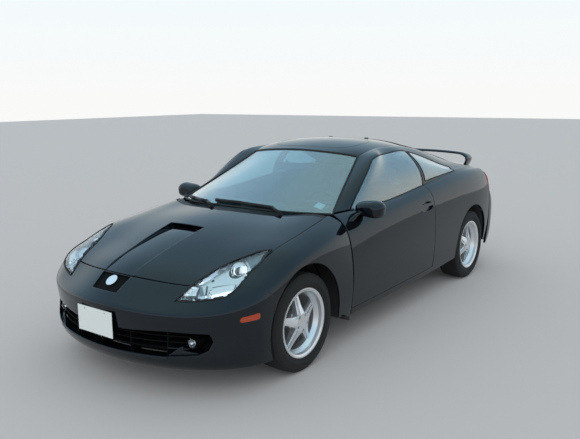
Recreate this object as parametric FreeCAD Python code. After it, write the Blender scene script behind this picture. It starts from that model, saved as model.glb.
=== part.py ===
# Two-door liftback coupe with a framed engine bay, a hollow cabin, opening doors, bonnet and tailgate,
# steered front wheels and four free-turning road wheels.
# Millimetres. X points to the car's left, Y to the rear, Z up; the origin is on the ground under the
# middle of the car's length.
import FreeCAD
import Part
import math
import os
from FreeCAD import Rotation, Vector

# Overall sizes
WHEELBASE = 2600.0
FRONT_OVERHANG = 885.0
REAR_OVERHANG = 850.0
WIDTH = 1740.0
HEIGHT = 1305.0
LENGTH = FRONT_OVERHANG + WHEELBASE + REAR_OVERHANG
NOSE_Y = -LENGTH / 2
FRONT_AXLE_Y = NOSE_Y + FRONT_OVERHANG
REAR_AXLE_Y = FRONT_AXLE_Y + WHEELBASE
TAIL_Y = LENGTH / 2

# Wheels, for a 205/50 R16 tyre on a 6.5 inch rim
TRACK = 1490.0
TYRE_WIDTH = 205.0
RIM_DIAMETER = 406.4
TYRE_HEIGHT = 102.5
RIM_WIDTH = 190.0
KINGPIN_OFFSET = 105.0
WHEEL_X = TRACK / 2
KINGPIN_X = WHEEL_X - KINGPIN_OFFSET
BEAD_R = RIM_DIAMETER / 2
TYRE_R = BEAD_R + TYRE_HEIGHT
ARCH_ROOM = 52.3
ARCH_R = TYRE_R + ARCH_ROOM
ARCH_LIFT = 12.0
STEER_ROOM = 170.0
LINER_R = TYRE_R + 78.0

# Clearances and wall thicknesses
SHUT_GAP = 5.8
DOOR_GAP = 8.0
SEAT_GAP = 0.3
RIM_GAP = 0.6
SEAM = 0.8
GLASS_SEAM = 5.0
PIN_GAP = 0.3
FENDER_T = 8.0
SIDE_T = 20.0
ROOF_T = 22.0
BONNET_T = 40.0
TAILGATE_T = 32.0
DOOR_T = 95.0
FRAME_T = 42.0
GLASS_T = 6.0
BUMPER_T = 18.0
HALF_GAP = SHUT_GAP / 2
HALF_DOOR_GAP = DOOR_GAP / 2
FREE = 60.0

# The body is drawn in tables and plans for a car with its nose, axles and tail at these stations and
# of this width and height. at() carries a drawn point to the car's own sizes.
DRAWN_STATIONS = (-2167.5, -1282.5, 1317.5, 2167.5)
DRAWN_SPAN = (1740.0, 1305.0)
STATIONS = (NOSE_Y, FRONT_AXLE_Y, REAR_AXLE_Y, TAIL_Y)


def across(x):
    return x * WIDTH / DRAWN_SPAN[0]


def along(y):
    k = 0 if y < DRAWN_STATIONS[1] else 1 if y < DRAWN_STATIONS[2] else 2
    share = (y - DRAWN_STATIONS[k]) / (DRAWN_STATIONS[k + 1] - DRAWN_STATIONS[k])
    return STATIONS[k] + share * (STATIONS[k + 1] - STATIONS[k])


def up(z):
    return z * HEIGHT / DRAWN_SPAN[1]


def at(x, y, z):
    return Vector(across(x), along(y), up(z))


def vec(x, y, z):
    return Vector(x, y, z)


def mirrored(shape):
    """The same shape on the car's right side."""
    return shape.mirror(Vector(0, 0, 0), Vector(1, 0, 0))


def curve_through(points, params):
    curve = Part.BSplineCurve()
    curve.interpolate(Points=points, Parameters=params)
    return curve


def chord_params(lines):
    """Parameters along one direction of a grid, in millimetres of mean chord length."""
    params = [0.0]
    for k in range(1, len(lines[0])):
        step = sum((line[k] - line[k - 1]).Length for line in lines) / len(lines)
        params.append(params[-1] + step)
    return params


def surface_through(grid, row_params=None, column_params=None):
    """A smooth surface through a grid of points; u runs along the rows' order, v along each row."""
    row_params = row_params or chord_params([list(c) for c in zip(*grid)])
    column_params = column_params or chord_params(grid)
    rows = [curve_through(row, column_params) for row in grid]
    poles = [row.getPoles() for row in rows]
    columns = [
        curve_through([poles[i][j] for i in range(len(grid))], row_params)
        for j in range(len(poles[0]))
    ]
    net = [[column.getPole(i + 1) for column in columns] for i in range(columns[0].NbPoles)]
    surface = Part.BSplineSurface()
    surface.buildFromPolesMultsKnots(
        net, columns[0].getMultiplicities(), rows[0].getMultiplicities(),
        columns[0].getKnots(), rows[0].getKnots(), False, False, columns[0].Degree, rows[0].Degree,
    )
    return surface, row_params, column_params


def part_of(surface, u0, u1, v0, v1):
    piece = surface.copy()
    piece.segment(u0, u1, v0, v1)
    return piece


def spread(a, b, n):
    return [a + (b - a) * i / (n - 1) for i in range(n)]


def solid_between(outer, inner):
    """A closed solid between two surfaces with like corners."""
    faces = [outer.toShape(), inner.toShape()]
    ou, iu = outer.bounds(), inner.bounds()
    for k in (0, 1):
        faces.append(Part.makeRuledSurface(outer.uIso(ou[k]).toShape(), inner.uIso(iu[k]).toShape()))
        faces.append(Part.makeRuledSurface(outer.vIso(ou[k + 2]).toShape(), inner.vIso(iu[k + 2]).toShape()))
    shell = Part.makeShell(faces)
    shell.sewShape()
    solid = Part.makeSolid(shell)
    if solid.Volume < 0:
        solid.reverse()
    return solid


def panel(surface, span, thickness, inside, samples=(7, 7), lift=0.0):
    """A wall of even thickness under part of a surface. span is (u0, u1, v0, v1); inside is a point on
    the side that the thickness goes to; lift moves the outer face towards it too."""
    skin = part_of(surface, *span)
    us, vs = spread(span[0], span[1], samples[0]), spread(span[2], span[3], samples[1])
    middle = skin.value(us[len(us) // 2], vs[len(vs) // 2])
    normal = skin.normal(us[len(us) // 2], vs[len(vs) // 2])
    sign = 1.0 if (inside - middle).dot(normal) > 0 else -1.0

    def layer(depth):
        grid = [[skin.value(u, v) + skin.normal(u, v) * (sign * depth) for v in vs] for u in us]
        return surface_through(grid, us, vs)[0]

    return solid_between(layer(lift) if lift else skin, layer(lift + thickness))


def walled(surface, us, vs, cells, thickness, inside, samples=(9, 7)):
    """A wall of even thickness under a surface, made of the marked cells of a net of u and v lines.
    cells holds one string for each u step, with an x for each v step that is filled."""
    outer = part_of(surface, us[0], us[-1], vs[0], vs[-1])
    su, sv = spread(us[0], us[-1], samples[0]), spread(vs[0], vs[-1], samples[1])
    middle = (su[len(su) // 2], sv[len(sv) // 2])
    sign = 1.0 if (inside - outer.value(*middle)).dot(outer.normal(*middle)) > 0 else -1.0
    grid = [[outer.value(u, v) + outer.normal(u, v) * (sign * thickness) for v in sv] for u in su]
    inner = surface_through(grid, su, sv)[0]

    def filled(i, j):
        return 0 <= i < len(cells) and 0 <= j < len(cells[0]) and cells[i][j] == "x"

    def wall(iso, at, start, end):
        edges = []
        for layer in (outer, inner):
            line = getattr(layer, iso)(at)
            line.segment(start, end)
            edges.append(line.toShape())
        return Part.makeRuledSurface(*edges)

    faces = []
    for i in range(len(us) - 1):
        for j in range(len(vs) - 1):
            if not filled(i, j):
                continue
            for layer in (outer, inner):
                faces.append(part_of(layer, us[i], us[i + 1], vs[j], vs[j + 1]).toShape())
            for step, at in ((-1, us[i]), (1, us[i + 1])):
                if not filled(i + step, j):
                    faces.append(wall("uIso", at, vs[j], vs[j + 1]))
            for step, at in ((-1, vs[j]), (1, vs[j + 1])):
                if not filled(i, j + step):
                    faces.append(wall("vIso", at, us[i], us[i + 1]))
    shell = Part.makeShell(faces)
    shell.sewShape()
    solid = Part.makeSolid(shell)
    if solid.Volume < 0:
        solid.reverse()
    return solid


def row_points(row, columns):
    return [at(*row[c]) for c in columns]


def full_width(half_row):
    """A row of points from the car's right side to its left, from the left half with its centre point."""
    right = [vec(-p.x, p.y, p.z) for p in reversed(half_row[1:])]
    return right + half_row


# Front body surface. Each row runs from the centre line to the side; columns are centre, middle, lamp
# (bonnet edge), shoulder, flare, flank and low. Rows run from under the lip, up the nose, over the
# bonnet to the scuttle, where the outer columns stand on the door's front edge.
FRONT_COLUMNS = ["centre", "middle", "lamp", "shoulder", "flare", "flank", "low"]
FRONT_ROWS = {
    "lip_foot": [(0, -2105, 178), (460, -2020, 178), (716, -1862, 180), (792, -1775, 182),
                 (832, -1698, 184), (848, -1640, 186), (852, -1580, 188)],
    "lip_edge": [(0, -2150, 258), (460, -2066, 260), (716, -1906, 262), (795, -1815, 264),
                 (838, -1730, 266), (853, -1664, 268), (858, -1595, 270)],
    "intake": [(0, -2152, 350), (460, -2058, 352), (716, -1902, 354), (797, -1814, 356),
               (841, -1732, 358), (856, -1666, 360), (862, -1597, 360)],
    "face": [(0, -2160, 440), (460, -2062, 438), (717, -1908, 440), (798, -1820, 446),
             (843, -1738, 450), (858, -1668, 448), (864, -1597, 436)],
    "under_ring": [(0, -2166, 494), (460, -2065, 478), (719, -1914, 488), (799, -1828, 504),
                   (844, -1746, 520), (859, -1672, 508), (865, -1600, 476)],
    "ring": [(0, -2165, 516), (460, -2062, 500), (720, -1912, 512), (799, -1826, 530),
             (845, -1742, 546), (860, -1668, 530), (865, -1596, 492)],
    "over_ring": [(0, -2148, 533), (460, -2042, 518), (719, -1896, 534), (798, -1812, 552),
                  (846, -1728, 562), (861, -1656, 540), (866, -1588, 494)],
    "brow": [(0, -2090, 580), (460, -1975, 565), (715, -1856, 585), (797, -1778, 592),
             (849, -1694, 578), (863, -1630, 536), (867, -1568, 478)],
    "bonnet_lip": [(0, -1995, 650), (457, -1897, 625), (712, -1800, 634), (796, -1728, 630),
                   (853, -1645, 592), (865, -1590, 530), (868, -1535, 450)],
    "lamp_mid": [(0, -1830, 724), (457, -1750, 698), (725, -1650, 697), (806, -1595, 674),
                 (861, -1535, 620), (868, -1495, 536), (868, -1462, 410)],
    "lamp_tip": [(0, -1620, 791), (457, -1560, 768), (733, -1470, 762), (816, -1445, 727),
                 (866, -1415, 662), (870, -1400, 560), (868, -1385, 380)],
    "axle": [(0, -1400, 846), (460, -1350, 823), (728, -1270, 803), (820, -1262, 762),
             (867, -1255, 690), (870, -1250, 560), (868, -1240, 320)],
    "bay": [(0, -1200, 881), (462, -1140, 860), (714, -1030, 843), (812, -1010, 795),
            (860, -1000, 702), (869, -990, 540), (860, -970, 255)],
    "scuttle": [(0, -1020, 903), (465, -950, 886), (690, -800, 878), (785, -762, 815),
                (838, -762, 700), (863, -762, 520), (842, -762, 215)],
}
front_names = list(FRONT_ROWS)
front_half = [row_points(dict(zip(FRONT_COLUMNS, FRONT_ROWS[n])), FRONT_COLUMNS) for n in front_names]
front_surface, front_u, front_v = surface_through([full_width(r) for r in front_half])
FU = dict(zip(front_names, front_u))
CENTRE_COLUMN = len(FRONT_COLUMNS) - 1
FV = {c: front_v[CENTRE_COLUMN + k] for k, c in enumerate(FRONT_COLUMNS)}
FV_RIGHT = {c: front_v[CENTRE_COLUMN - k] for k, c in enumerate(FRONT_COLUMNS)}

# Side body surface, left. Each row runs up from the sill to the belt; rows go from the door's front
# edge to the tail corner.
SIDE_COLUMNS = ["sill", "low", "wide", "flank", "crease", "belt"]
SIDE_ROWS = {
    "door_front": [(842, -757, 215), (857, -757, 350), (863, -757, 520), (838, -757, 700),
                   (785, -757, 815), (690, -748, 876)],
    "mirror": [(842, -560, 215), (858, -560, 352), (864, -560, 522), (845, -560, 702),
               (800, -570, 820), (724, -590, 880)],
    "door_mid": [(842, -235, 218), (859, -235, 356), (865, -235, 526), (852, -235, 706),
                 (815, -235, 831), (752, -235, 887)],
    "seat": [(842, 150, 224), (860, 150, 362), (866, 150, 540), (857, 150, 716),
             (824, 150, 846), (760, 150, 912)],
    "door_rear": [(842, 500, 232), (861, 500, 372), (867, 500, 556), (860, 500, 732),
                  (828, 500, 863), (762, 470, 941)],
    "quarter": [(844, 850, 244), (863, 850, 392), (868, 850, 580), (862, 850, 746),
                (829, 850, 881), (757, 830, 968)],
    "rear_axle": [(846, 1200, 262), (865, 1200, 420), (869, 1200, 604), (863, 1200, 760),
                  (826, 1170, 898), (748, 1140, 985)],
    "haunch": [(838, 1500, 276), (858, 1500, 430), (864, 1500, 610), (856, 1500, 772),
               (812, 1470, 915), (732, 1430, 984)],
    "corner": [(815, 1760, 286), (835, 1760, 430), (843, 1760, 610), (832, 1760, 775),
               (785, 1740, 922), (706, 1720, 968)],
}
side_names = list(SIDE_ROWS)
side_grid = [[at(*p) for p in SIDE_ROWS[n]] for n in side_names]

# Cabin side surface, left: the same rows go on from the belt to the roof's edge.
CABIN_COLUMNS = ["belt", "mid", "glass_top", "rail", "roof_edge"]
CABIN_ROWS = {
    "door_front": [(690, -748, 876), (625, -560, 970), (547, -300, 1098), (512, -172, 1163),
                   (490, -95, 1202)],
    "mirror": [(724, -590, 880), (690, -420, 1000), (627, -130, 1188), (580, -70, 1214), (505, -15, 1226)],
    "door_mid": [(752, -235, 887), (706, -110, 1050), (602, 60, 1212), (556, 90, 1236), (512, 140, 1247)],
    "seat": [(760, 150, 912), (706, 210, 1075), (588, 290, 1219), (546, 310, 1242), (514, 340, 1250)],
    "door_rear": [(762, 470, 941), (706, 480, 1090), (584, 490, 1206), (542, 510, 1232), (510, 545, 1238)],
    "quarter": [(757, 830, 968), (712, 810, 1052), (620, 800, 1128), (566, 830, 1170), (512, 870, 1180)],
    "rear_axle": [(748, 1140, 985), (726, 1140, 1004), (688, 1140, 1026), (618, 1160, 1072),
                  (527, 1190, 1104)],
    "haunch": [(732, 1430, 984), (712, 1430, 996), (680, 1440, 1008), (630, 1450, 1024), (545, 1470, 1036)],
    "corner": [(706, 1720, 968), (690, 1720, 974), (664, 1720, 980), (632, 1720, 984), (575, 1730, 984)],
}
cabin_grid = [[at(*p) for p in CABIN_ROWS[n]] for n in side_names]
side_u = chord_params([list(c) for c in zip(*side_grid)])
side_surface, side_u, side_v = surface_through(side_grid, side_u)
cabin_surface, _, cabin_v = surface_through(cabin_grid, side_u)
SU = dict(zip(side_names, side_u))
SV = dict(zip(SIDE_COLUMNS, side_v))
CV = dict(zip(CABIN_COLUMNS, cabin_v))

# Windscreen, roof and tailgate skin: half rows from the centre line to the edge.
TOP_COLUMNS = ["centre", "inner", "outer", "edge"]
SCREEN_ROWS = {
    "foot": [(0, -985, 902), (250, -962, 898), (480, -885, 888), (660, -758, 880)],
    "low": [(0, -715, 1012), (235, -692, 1008), (450, -622, 995), (600, -552, 974)],
    "high": [(0, -440, 1125), (215, -424, 1120), (405, -365, 1106), (528, -300, 1100)],
    "head": [(0, -165, 1238), (200, -155, 1232), (390, -125, 1216), (484, -100, 1204)],
}
ROOF_ROWS = {
    "head": [(0, -160, 1240), (210, -150, 1234), (395, -120, 1218), (486, -95, 1206)],
    "front": [(0, 0, 1278), (215, 5, 1271), (410, 12, 1252), (500, 20, 1236)],
    "crown": [(0, 200, 1303), (220, 205, 1296), (420, 212, 1272), (508, 220, 1255)],
    "rear": [(0, 420, 1302), (222, 425, 1295), (420, 432, 1270), (506, 440, 1251)],
    "tailgate": [(0, 560, 1290), (222, 562, 1283), (420, 566, 1257), (504, 570, 1238)],
}
TAILGATE_ROWS = {
    "hinge": [(0, 568, 1289), (222, 570, 1282), (420, 574, 1256), (503, 578, 1236)],
    "upper": [(0, 880, 1238), (225, 880, 1230), (425, 880, 1203), (508, 880, 1180)],
    "middle": [(0, 1200, 1160), (230, 1200, 1153), (435, 1200, 1127), (522, 1200, 1102)],
    "lower": [(0, 1500, 1078), (235, 1500, 1073), (445, 1495, 1053), (541, 1485, 1033)],
    "deck": [(0, 1760, 1008), (240, 1758, 1006), (455, 1748, 998), (568, 1735, 984)],
    "edge": [(0, 1960, 978), (240, 1955, 975), (460, 1930, 965), (590, 1885, 950)],
    "under_edge": [(0, 2000, 945), (240, 1995, 942), (462, 1968, 932), (595, 1920, 918)],
    "badge": [(0, 2042, 850), (242, 2036, 848), (466, 2010, 842), (600, 1965, 834)],
    "foot": [(0, 2085, 728), (244, 2080, 728), (468, 2054, 728), (604, 2012, 728)],
}


def point_at(line, y):
    """The point of a line that runs front to rear where it passes y."""
    low, high = line.FirstParameter, line.LastParameter
    for _ in range(40):
        middle = (low + high) / 2
        if line.value(middle).y < y:
            low = middle
        else:
            high = middle
    return line.value(low)


def top_surface(rows, beside, gap, upto=1e9):
    """A surface whose outer points lie a gap inside a line of the side frame, as far back as upto."""
    grid = []
    for half in rows.values():
        points = [at(*p) for p in half]
        if points[-1].y < upto:
            points[-1] = point_at(beside, points[-1].y) - vec(gap, 0, 0)
        grid.append(full_width(points))
    surface, us, vs = surface_through(grid)
    centre = len(TOP_COLUMNS) - 1
    return surface, dict(zip(rows, us)), {c: vs[centre + k] for k, c in enumerate(TOP_COLUMNS)}, vs


pillar_line = cabin_surface.uIso(SU["door_front"] + HALF_DOOR_GAP)
rail_line = cabin_surface.vIso(CV["roof_edge"])
screen_surface, WU, _, screen_v = top_surface(SCREEN_ROWS, pillar_line, 1.4)
roof_surface, RU, _, roof_v = top_surface(ROOF_ROWS, rail_line, 1.8)
tailgate_surface, TU, _, tailgate_v = top_surface(TAILGATE_ROWS, rail_line, SHUT_GAP, upto=along(1725))

# Rear bumper and tail corner: half rows from the centre line round to the rear edge of the side.
REAR_COLUMNS = ["centre", "inner", "lamp", "corner", "wing", "side"]
REAR_ROWS = {
    "foot": [(0, 2105, 215), (350, 2096, 215), (610, 2040, 218), (752, 1935, 222), (798, 1850, 228),
             (817, 1766, 232)],
    "skirt": [(0, 2150, 320), (350, 2140, 320), (615, 2084, 322), (770, 1968, 326), (818, 1866, 330),
              (832, 1766, 334)],
    "bumper": [(0, 2167.5, 480), (350, 2156, 480), (620, 2098, 482), (780, 1978, 484), (828, 1870, 486),
               (842, 1766, 488)],
    "shelf": [(0, 2160, 600), (350, 2148, 600), (620, 2090, 602), (781, 1972, 604), (829, 1867, 606),
              (843, 1766, 610)],
    "step": [(0, 2130, 680), (350, 2119, 680), (616, 2062, 682), (774, 1948, 684), (825, 1852, 688),
             (841, 1766, 694)],
    "lamp_low": [(0, 2095, 722), (350, 2084, 722), (612, 2024, 724), (768, 1918, 727), (819, 1836, 732),
                 (838, 1766, 738)],
    "lamp_mid": [(0, 2052, 820), (350, 2042, 820), (606, 1978, 822), (756, 1886, 824), (804, 1822, 826),
                 (824, 1766, 828)],
    "lamp_top": [(0, 2010, 915), (350, 2000, 915), (598, 1930, 916), (734, 1846, 914), (772, 1800, 912),
                 (789, 1764, 912)],
    "rim": [(0, 1975, 955), (350, 1965, 955), (597, 1890, 949), (684, 1812, 955), (708, 1766, 962),
            (707, 1728, 966)],
}
rear_names = list(REAR_ROWS)
rear_surface, rear_u, rear_v = surface_through([full_width([at(*p) for p in h]) for h in REAR_ROWS.values()])
QU = dict(zip(rear_names, rear_u))
QV = {c: rear_v[len(REAR_COLUMNS) - 1 + k] for k, c in enumerate(REAR_COLUMNS)}

MIDDLE = at(0, 0, 600)


def outward(solid):
    if solid.Volume < 0:
        solid.reverse()
    return solid


def extruded(wire, way):
    return outward(Part.Face(wire).extrude(way))


def block(x0, x1, y0, y1, z0, z1):
    """A box between two drawn corners."""
    low, high = at(x0, y0, z0), at(x1, y1, z1)
    return Part.makeBox(high.x - low.x, high.y - low.y, high.z - low.z, low)


def side_prism(points, x0, x1):
    """A drawn (y, z) outline, extruded across the car."""
    wire = Part.makePolygon([at(x0, y, z) for y, z in points + points[:1]])
    return extruded(wire, vec(across(x1) - across(x0), 0, 0))


def front_prism(points, y0, y1):
    """A drawn (x, z) outline, extruded along the car."""
    wire = Part.makePolygon([at(x, y0, z) for x, z in points + points[:1]])
    return extruded(wire, vec(0, along(y1) - along(y0), 0))


def smooth_outline(points):
    """A closed wire through drawn points."""
    curve = Part.BSplineCurve()
    curve.interpolate(Points=[at(*p) for p in points], PeriodicFlag=True)
    return Part.Wire(curve.toShape())


def both_sides(shape):
    """One shape and its mirror image, as two solids that don't touch."""
    return Part.makeCompound(shape.Solids + mirrored(shape).Solids)


def clean(shape):
    """The shape without crumbs."""
    solids = [s for s in shape.Solids if s.Volume > 2000.0]
    return solids[0] if len(solids) == 1 else Part.makeCompound(solids)


def rod(start, end, radius):
    axis = end - start
    return Part.makeCylinder(radius, axis.Length, start, axis)


def rods(points, radius):
    """A bent round bar: straight runs with a ball at each bend."""
    bar = rod(points[0], points[1], radius)
    for start, end in zip(points[1:], points[2:]):
        bar = bar.fuse(Part.makeSphere(radius, start)).fuse(rod(start, end, radius))
    return bar


def turned(profile, centre):
    """A profile of (distance along X, radius) turned about an axis along X through a centre."""
    wire = Part.makePolygon([centre + vec(a, 0, r) for a, r in profile + profile[:1]])
    return outward(Part.Face(wire).revolve(centre, vec(1, 0, 0), 360))


def cross_cylinder(y, radius, x0, x1, lift=ARCH_LIFT):
    """A cylinder across the car about a wheel's centre."""
    return Part.makeCylinder(radius, x1 - x0, vec(x0, y, TYRE_R + lift), vec(1, 0, 0))


def fused(first, *others):
    for other in others:
        first = first.fuse(other)
    return first


NOSE_INSIDE = at(0, -1500, 400)
TAIL_INSIDE = at(0, 1500, 500)
SIDE_X = WIDTH / 2
front_well = cross_cylinder(FRONT_AXLE_Y, ARCH_R, -SIDE_X - FREE, SIDE_X + FREE)
rear_well = cross_cylinder(REAR_AXLE_Y, ARCH_R, -SIDE_X - FREE, SIDE_X + FREE)


def param_at(line, y):
    """The parameter of a line that runs front to rear where it passes a drawn y."""
    low, high = line.FirstParameter, line.LastParameter
    for _ in range(40):
        middle = (low + high) / 2
        if line.value(middle).y < along(y):
            low = middle
        else:
            high = middle
    return low


nose_line = front_surface.vIso(FV["centre"])


def nose_v(x):
    """The front surface's v for a drawn x between the centre line and the middle column."""
    share = x / FRONT_ROWS["ring"][1][0]
    return FV["centre"] + (FV["middle"] - FV["centre"]) * share


def nose_patch(rows, outside, columns=5):
    """A slab over part of the front surface, to cut a recess. Each row is a drawn y on the centre line,
    the half width there and the depth; outside is how far it stands out of the surface."""
    layers = []
    for depth_of in (lambda depth: -outside, lambda depth: depth):
        grid = []
        for y, half, depth in rows:
            u = param_at(nose_line, y)
            row = []
            for v in spread(nose_v(-half), nose_v(half), columns):
                row.append(front_surface.value(u, v) - nose_way(u, v) * depth_of(depth))
            grid.append(row)
        layers.append(surface_through(grid)[0])
    return solid_between(*layers)


def nose_way(u, v):
    """The front surface's normal that points out of the car."""
    normal = front_surface.normal(u, v)
    return normal if normal.dot(front_surface.value(u, v) - NOSE_INSIDE) > 0 else normal * -1


# Head lamps: a piece of the front surface inside this outline, seen from above
LAMP_OUTLINE = [(464, -1984), (530, -1958), (597, -1928), (671, -1886), (719, -1847), (741, -1810),
                (750, -1766), (746, -1717), (735, -1657), (738, -1569), (716, -1441), (672, -1488),
                (628, -1571), (588, -1636), (552, -1715), (529, -1796), (502, -1870), (483, -1931)]
LAMP_T = 60.0
lamp_span = (FU["over_ring"], FU["axle"], FV["middle"], FV["flare"])


def lamp_prism(grow):
    wire = Part.makePolygon([at(x, y, 300) for x, y in LAMP_OUTLINE + LAMP_OUTLINE[:1]])
    if grow:
        wire = wire.makeOffset2D(grow)
    return extruded(wire, vec(0, 0, up(900)))


lamp_cut = lamp_prism(SEAT_GAP)
lamp_left = panel(front_surface, lamp_span, LAMP_T, MIDDLE, (10, 7)).common(lamp_prism(0))
lamp_outside = panel(front_surface, lamp_span, FREE + LAMP_T + SEAM, MIDDLE, (10, 7), lift=-FREE).common(
    lamp_prism(SEAM))

# Bonnet: a thick panel with a channel that deepens to a forward-facing air scoop under a flush lid
BONNET_REAR = [(0, -1109), (179, -1079), (307, -1048), (430, -1014), (553, -960), (640, -892), (690, -874)]
BONNET_HINGE_Y, BONNET_HINGE_Z = -790.0, 838.0
HINGE_PIN_R = 5.0
BONNET_ARM = [(4.6, -3.8), (-63.4, -87), (-73, -87.5), (-146, 0), (-146, 16), (-128, 16), (-128, -2.7),
              (-68, -72.7), (-4.6, 3.8)]
ARM_X = (657.0, 666.0)
CHANNEL_ROWS = [(-1994, 120, 3.5), (-1850, 127, 6), (-1700, 135, 10), (-1540, 143, 17), (-1410, 151, 26)]
SCOOP_ROWS = [(-1420, 138, 27), (-1375, 140, 28), (-1335, 138, 29)]
SCOOP_LIP = 7.0


def bonnet_plan(back):
    """The plan of the bonnet, with its rear edge moved back."""
    left = [(x, y + back) for x, y in BONNET_REAR]
    right = [(-x, y) for x, y in reversed(left[1:])]
    ahead = [(760, left[-1][1]), (900, -1300), (900, -2300), (-900, -2300), (-900, -1300),
             (-760, left[-1][1])]
    wire = Part.makePolygon([at(x, y, 300) for x, y in right + left + ahead + right[:1]])
    return extruded(wire, vec(0, 0, up(900)))


bonnet_span = (FU["bonnet_lip"] + HALF_GAP, FU["scuttle"], FV_RIGHT["lamp"] + HALF_GAP, FV["lamp"] - HALF_GAP)
lamp_shut = lamp_prism(SHUT_GAP)
channel = nose_patch(CHANNEL_ROWS, 30)
scoop_mouth = nose_patch(SCOOP_ROWS, -SCOOP_LIP)
bonnet = panel(front_surface, bonnet_span, BONNET_T, MIDDLE, (10, 11)).common(bonnet_plan(0))
bonnet = bonnet.cut(lamp_shut).cut(mirrored(lamp_shut)).cut(channel).cut(scoop_mouth)
hinge_line = [at(600, BONNET_HINGE_Y, BONNET_HINGE_Z), at(700, BONNET_HINGE_Y, BONNET_HINGE_Z)]
hinge_arm = side_prism([(BONNET_HINGE_Y + y, BONNET_HINGE_Z + z) for y, z in BONNET_ARM], *ARM_X).fuse(
    rod(at(ARM_X[0], BONNET_HINGE_Y, BONNET_HINGE_Z), at(ARM_X[1], BONNET_HINGE_Y, BONNET_HINGE_Z),
        2 * HINGE_PIN_R))
hinge_arm = hinge_arm.cut(rod(*hinge_line, HINGE_PIN_R + PIN_GAP))
bonnet = fused(bonnet, hinge_arm, mirrored(hinge_arm))

# Front bumper with a wide lower intake, a recess on the nose with a plain disc, and side marker lamps
INTAKE = [(-200, 262), (0, 260), (200, 262), (450, 262), (620, 276), (672, 305), (690, 350), (676, 396),
          (470, 405),
          (200, 392), (-200, 392), (-470, 405), (-676, 396), (-690, 350), (-672, 305), (-620, 276),
          (-450, 262)]
NOSE_RECESS = [(-2100, 104, 11), (-2050, 112, 12), (-2002, 120, 12)]
DISC_AT, DISC_R, DISC_T = -2038.0, 37.0, 7.0
MARKER_OUTLINE = [(-1816, 454), (-1726, 458), (-1717, 467), (-1718, 486), (-1727, 494), (-1814, 484),
                  (-1824, 475),
                  (-1825, 462)]
MARKER_T = 12.0
nose_span = (0, FU["bonnet_lip"] - HALF_GAP, front_v[0], front_v[-1])


def marker_prism(grow):
    wire = Part.makePolygon([at(600, y, z) for y, z in MARKER_OUTLINE + MARKER_OUTLINE[:1]])
    if grow:
        wire = wire.makeOffset2D(grow)
    return extruded(wire, vec(across(400), 0, 0))


bumper_skin = panel(front_surface, nose_span, BUMPER_T, NOSE_INSIDE, (16, 21))
front_bumper = bumper_skin.cut(front_well).cut(lamp_cut).cut(mirrored(lamp_cut))
front_bumper = front_bumper.cut(front_prism(INTAKE, -2300, -1700)).cut(nose_patch(NOSE_RECESS, 30))
for marker_cut in (marker_prism(SEAT_GAP), mirrored(marker_prism(SEAT_GAP))):
    front_bumper = front_bumper.cut(marker_cut)
disc_u = param_at(nose_line, DISC_AT)
disc_foot = front_surface.value(disc_u, FV["centre"]) - nose_way(disc_u,
                                                                 FV["centre"]) * (NOSE_RECESS[1][2] + 1)
front_bumper = front_bumper.fuse(Part.makeCylinder(DISC_R, DISC_T, disc_foot, nose_way(disc_u, FV["centre"])))
side_marker = panel(front_surface, (0, FU["brow"], FV["lamp"], FV["low"]), MARKER_T, NOSE_INSIDE,
                    (12, 9)).common(marker_prism(0))

# Grille tray behind the intake, with slats, fog lamp cups and a fin under each
TRAY_DEPTH, TRAY_T = 95.0, 6.0
SLAT_Z = (302.0, 336.0, 370.0)
SLAT_T, SLAT_DEPTH = 6.0, 70.0
FOG_X, FOG_Y, FOG_Z, FOG_R, FOG_CUP = 571.0, -1974.0, 335.0, 28.0, 6.0
FOG_DOME_R, FOG_LONG = 1.6 * FOG_R, 31.0
tray_span = (0, FU["face"], FV_RIGHT["lamp"], FV["lamp"])
tray_box = block(-700, 700, -2200, -1800, 236, 412)
tray = panel(front_surface, tray_span, TRAY_T, NOSE_INSIDE, (8, 13), lift=TRAY_DEPTH).common(tray_box)
slat_zone = panel(front_surface, tray_span, SLAT_DEPTH, NOSE_INSIDE, (8, 13),
                  lift=TRAY_DEPTH - SLAT_DEPTH + TRAY_T / 2)
tray_zone = panel(front_surface, tray_span, TRAY_DEPTH - BUMPER_T - SEAT_GAP + TRAY_T, NOSE_INSIDE, (8, 13),
                  lift=BUMPER_T + SEAT_GAP)
frame_of_tray = tray_zone.common(tray_box).cut(block(-690, 690, -2250, -1700, 246, 404))
grille = tray.fuse(frame_of_tray)
for z in SLAT_Z:
    grille = grille.fuse(slat_zone.common(block(-560, 560, -2200, -1800, z - SLAT_T / 2, z + SLAT_T / 2)))
for x in (-450, -225, 0, 225, 450):
    grille = grille.fuse(slat_zone.common(block(x - 3, x + 3, -2200, -1800, 250, 400)))
fog_at = at(FOG_X, FOG_Y, FOG_Z)
fog_bore = rod(fog_at - vec(0, FOG_CUP, 0), fog_at + vec(0, FOG_LONG + SEAT_GAP, 0), FOG_R + SEAT_GAP)
fog_view = rod(fog_at - vec(0, FREE, 0), fog_at + vec(0, FREE, 0), FOG_R + FOG_CUP)
cup = rod(fog_at, fog_at + vec(0, TRAY_DEPTH + 15, 0), FOG_R + FOG_CUP)
fin = front_prism([(463, 262), (529, 318), (535, 318), (540, 296), (611, 282), (611, 270), (590, 262)],
                  -2080, -1900)
tray_front = panel(front_surface, tray_span, 3 * FREE, NOSE_INSIDE, (8, 13), lift=BUMPER_T + SEAM)
grille = grille.cut(fog_view).cut(mirrored(fog_view))
for side_part in (cup, fin.cut(fog_view)):
    side_part = side_part.common(tray_front)
    grille = fused(grille, side_part, mirrored(side_part))
grille = grille.cut(fog_bore).cut(mirrored(fog_bore))
dome_centre = fog_at + vec(0, math.sqrt(FOG_DOME_R ** 2 - FOG_R ** 2), 0)
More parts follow.
